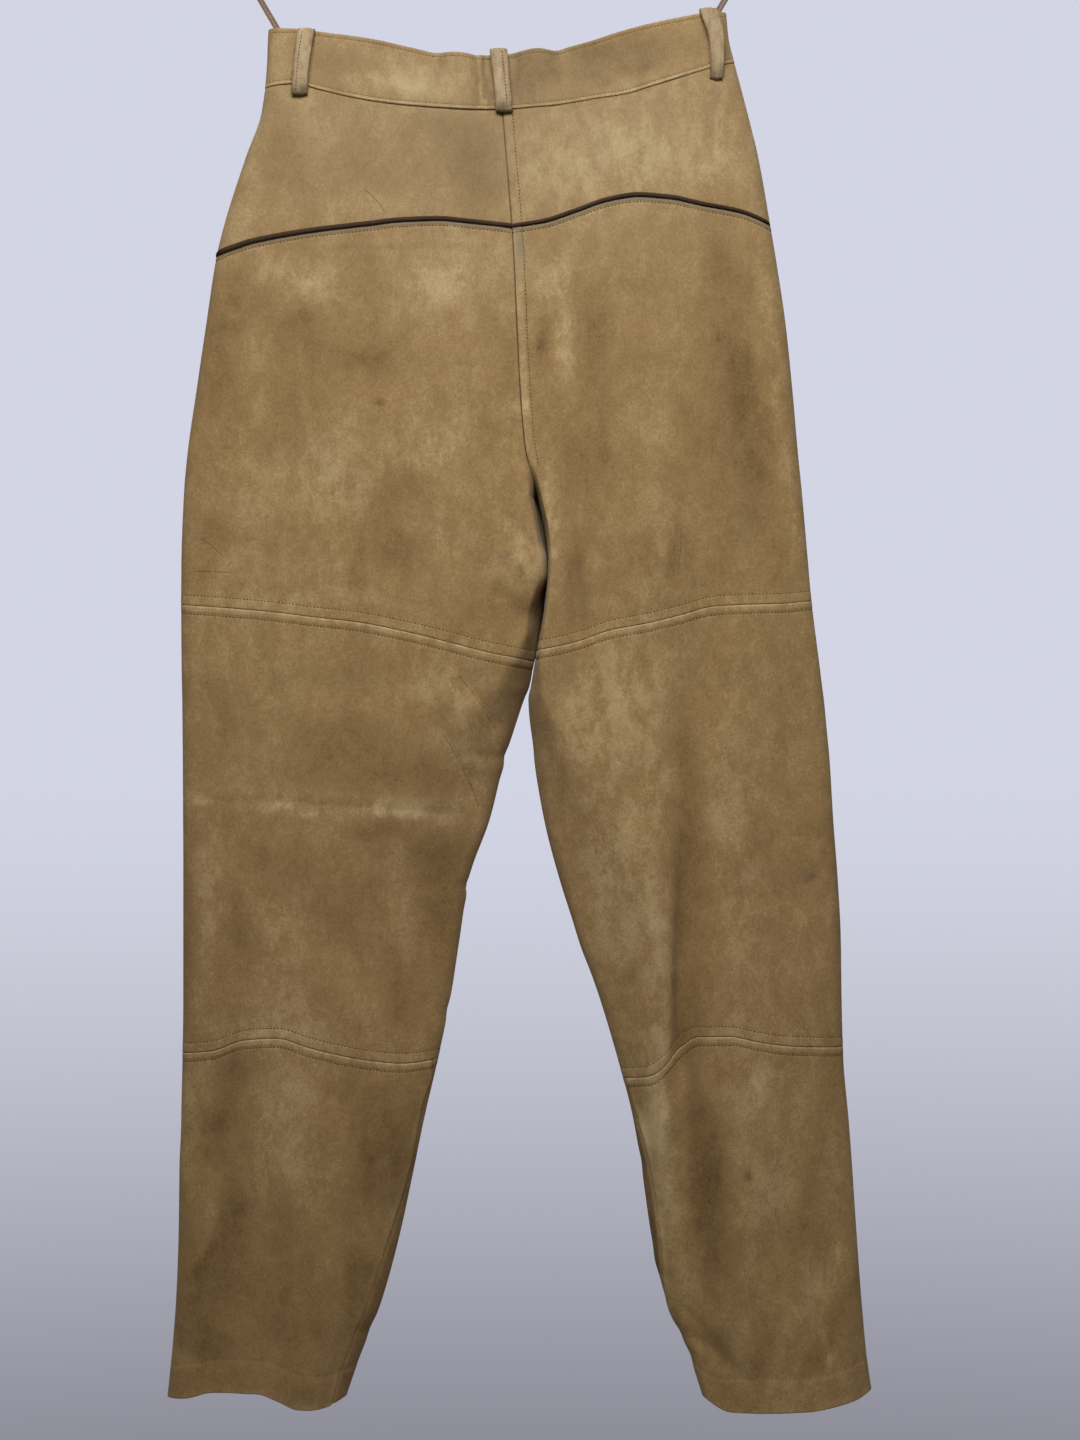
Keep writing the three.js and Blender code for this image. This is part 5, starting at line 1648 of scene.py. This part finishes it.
def sewLines(name, lines, sizes, thread):
    points, edges = [], []
    for line in lines:
        start = len(points)
        points += (np.asarray(line) * mm).tolist()
        edges += [(start + k, start + k + 1) for k in range(len(line) - 1)]
    guide = bpy.data.meshes.new(name + "Guide")
    guide.from_pydata(points, edges, [])
    holder = addObject(name + "Guide", guide)
    modifier = holder.modifiers.new("stitches", "NODES")
    modifier.node_group = threadTree
    values = {"Pitch": sizes["pitch"] * mm, "Length": sizes["length"] * mm, "Thickness": sizes["thick"] * mm,
              "Seed": sizes["seed"], "Thread": thread}
    for item in threadTree.interface.items_tree:
        if item.in_out == "INPUT" and item.name in values:
            modifier[item.identifier] = values[item.name]
    holder.update_tag()
    mesh = evaluatedMesh(holder)
    bpy.data.objects.remove(holder)
    shadeSmooth(mesh)
    piece = addObject(name, mesh)
    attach(piece, "root")


# painted shade: dark hairlines, most of them laid along thin creases and folds, drawn from (x, drop) to (x,
# drop) and slightly bent
creaseShade = {
    "pitch": 0.8, "length": 1.3, "thick": 0.34, "lift": 0.05, "seed": 5, "steps": 24,
    "lines": [
        ("back", -94, 137, -80, 153, 1.5), ("back", -216, 396, -201, 408, 1), ("back", 140, 389, 138, 420, 0.8),
        ("back", 164, 323, 162, 338, 0.5), ("back", -23, 499, 1.5, 537, 1.5), ("back", -36, 541, -22, 566, 0.8),
        ("back", -22, 566, -10, 595, 1), ("back", -222, 420, -196, 421, 1),
    ],
}


def creaseShadeLines():
    lines = []
    for face, x1, drop1, x2, drop2, bend in creaseShade["lines"]:
        line = []
        for t in np.linspace(0, 1, creaseShade["steps"]):
            x = x1 + (x2 - x1) * t + bend * math.sin(math.pi * t)
            drop = drop1 + (drop2 - drop1) * t
            side, across = placeOn(face, x, drop)
            pressed = float(softWaves(x, drop, face)) + float(foldLift(creases, side, face, x, drop))
            line.append(onCloth(face, x, drop, pressed + creaseShade["lift"]))
        lines.append(np.array(line))
    return lines


sewLines("creaseShadeHairlines", creaseShadeLines(), creaseShade, shadedThread)
sewLines("seamStitches", stitchLines, stitching, shadedThread)
sewLines("bandStitches", bandStitchLines, dict(stitching, thick=0.6), bandThread)
sewLines("loopStitches", loopStitchLines, dict(stitching, pitch=2.5, length=1.8), shadedThread)
sewLines("buttonThread", buttonThreads, dict(stitching, pitch=0.5, length=0.9, thick=0.45), shadedThread)
print("stitches sewn:", len(stitchLines), "rows")
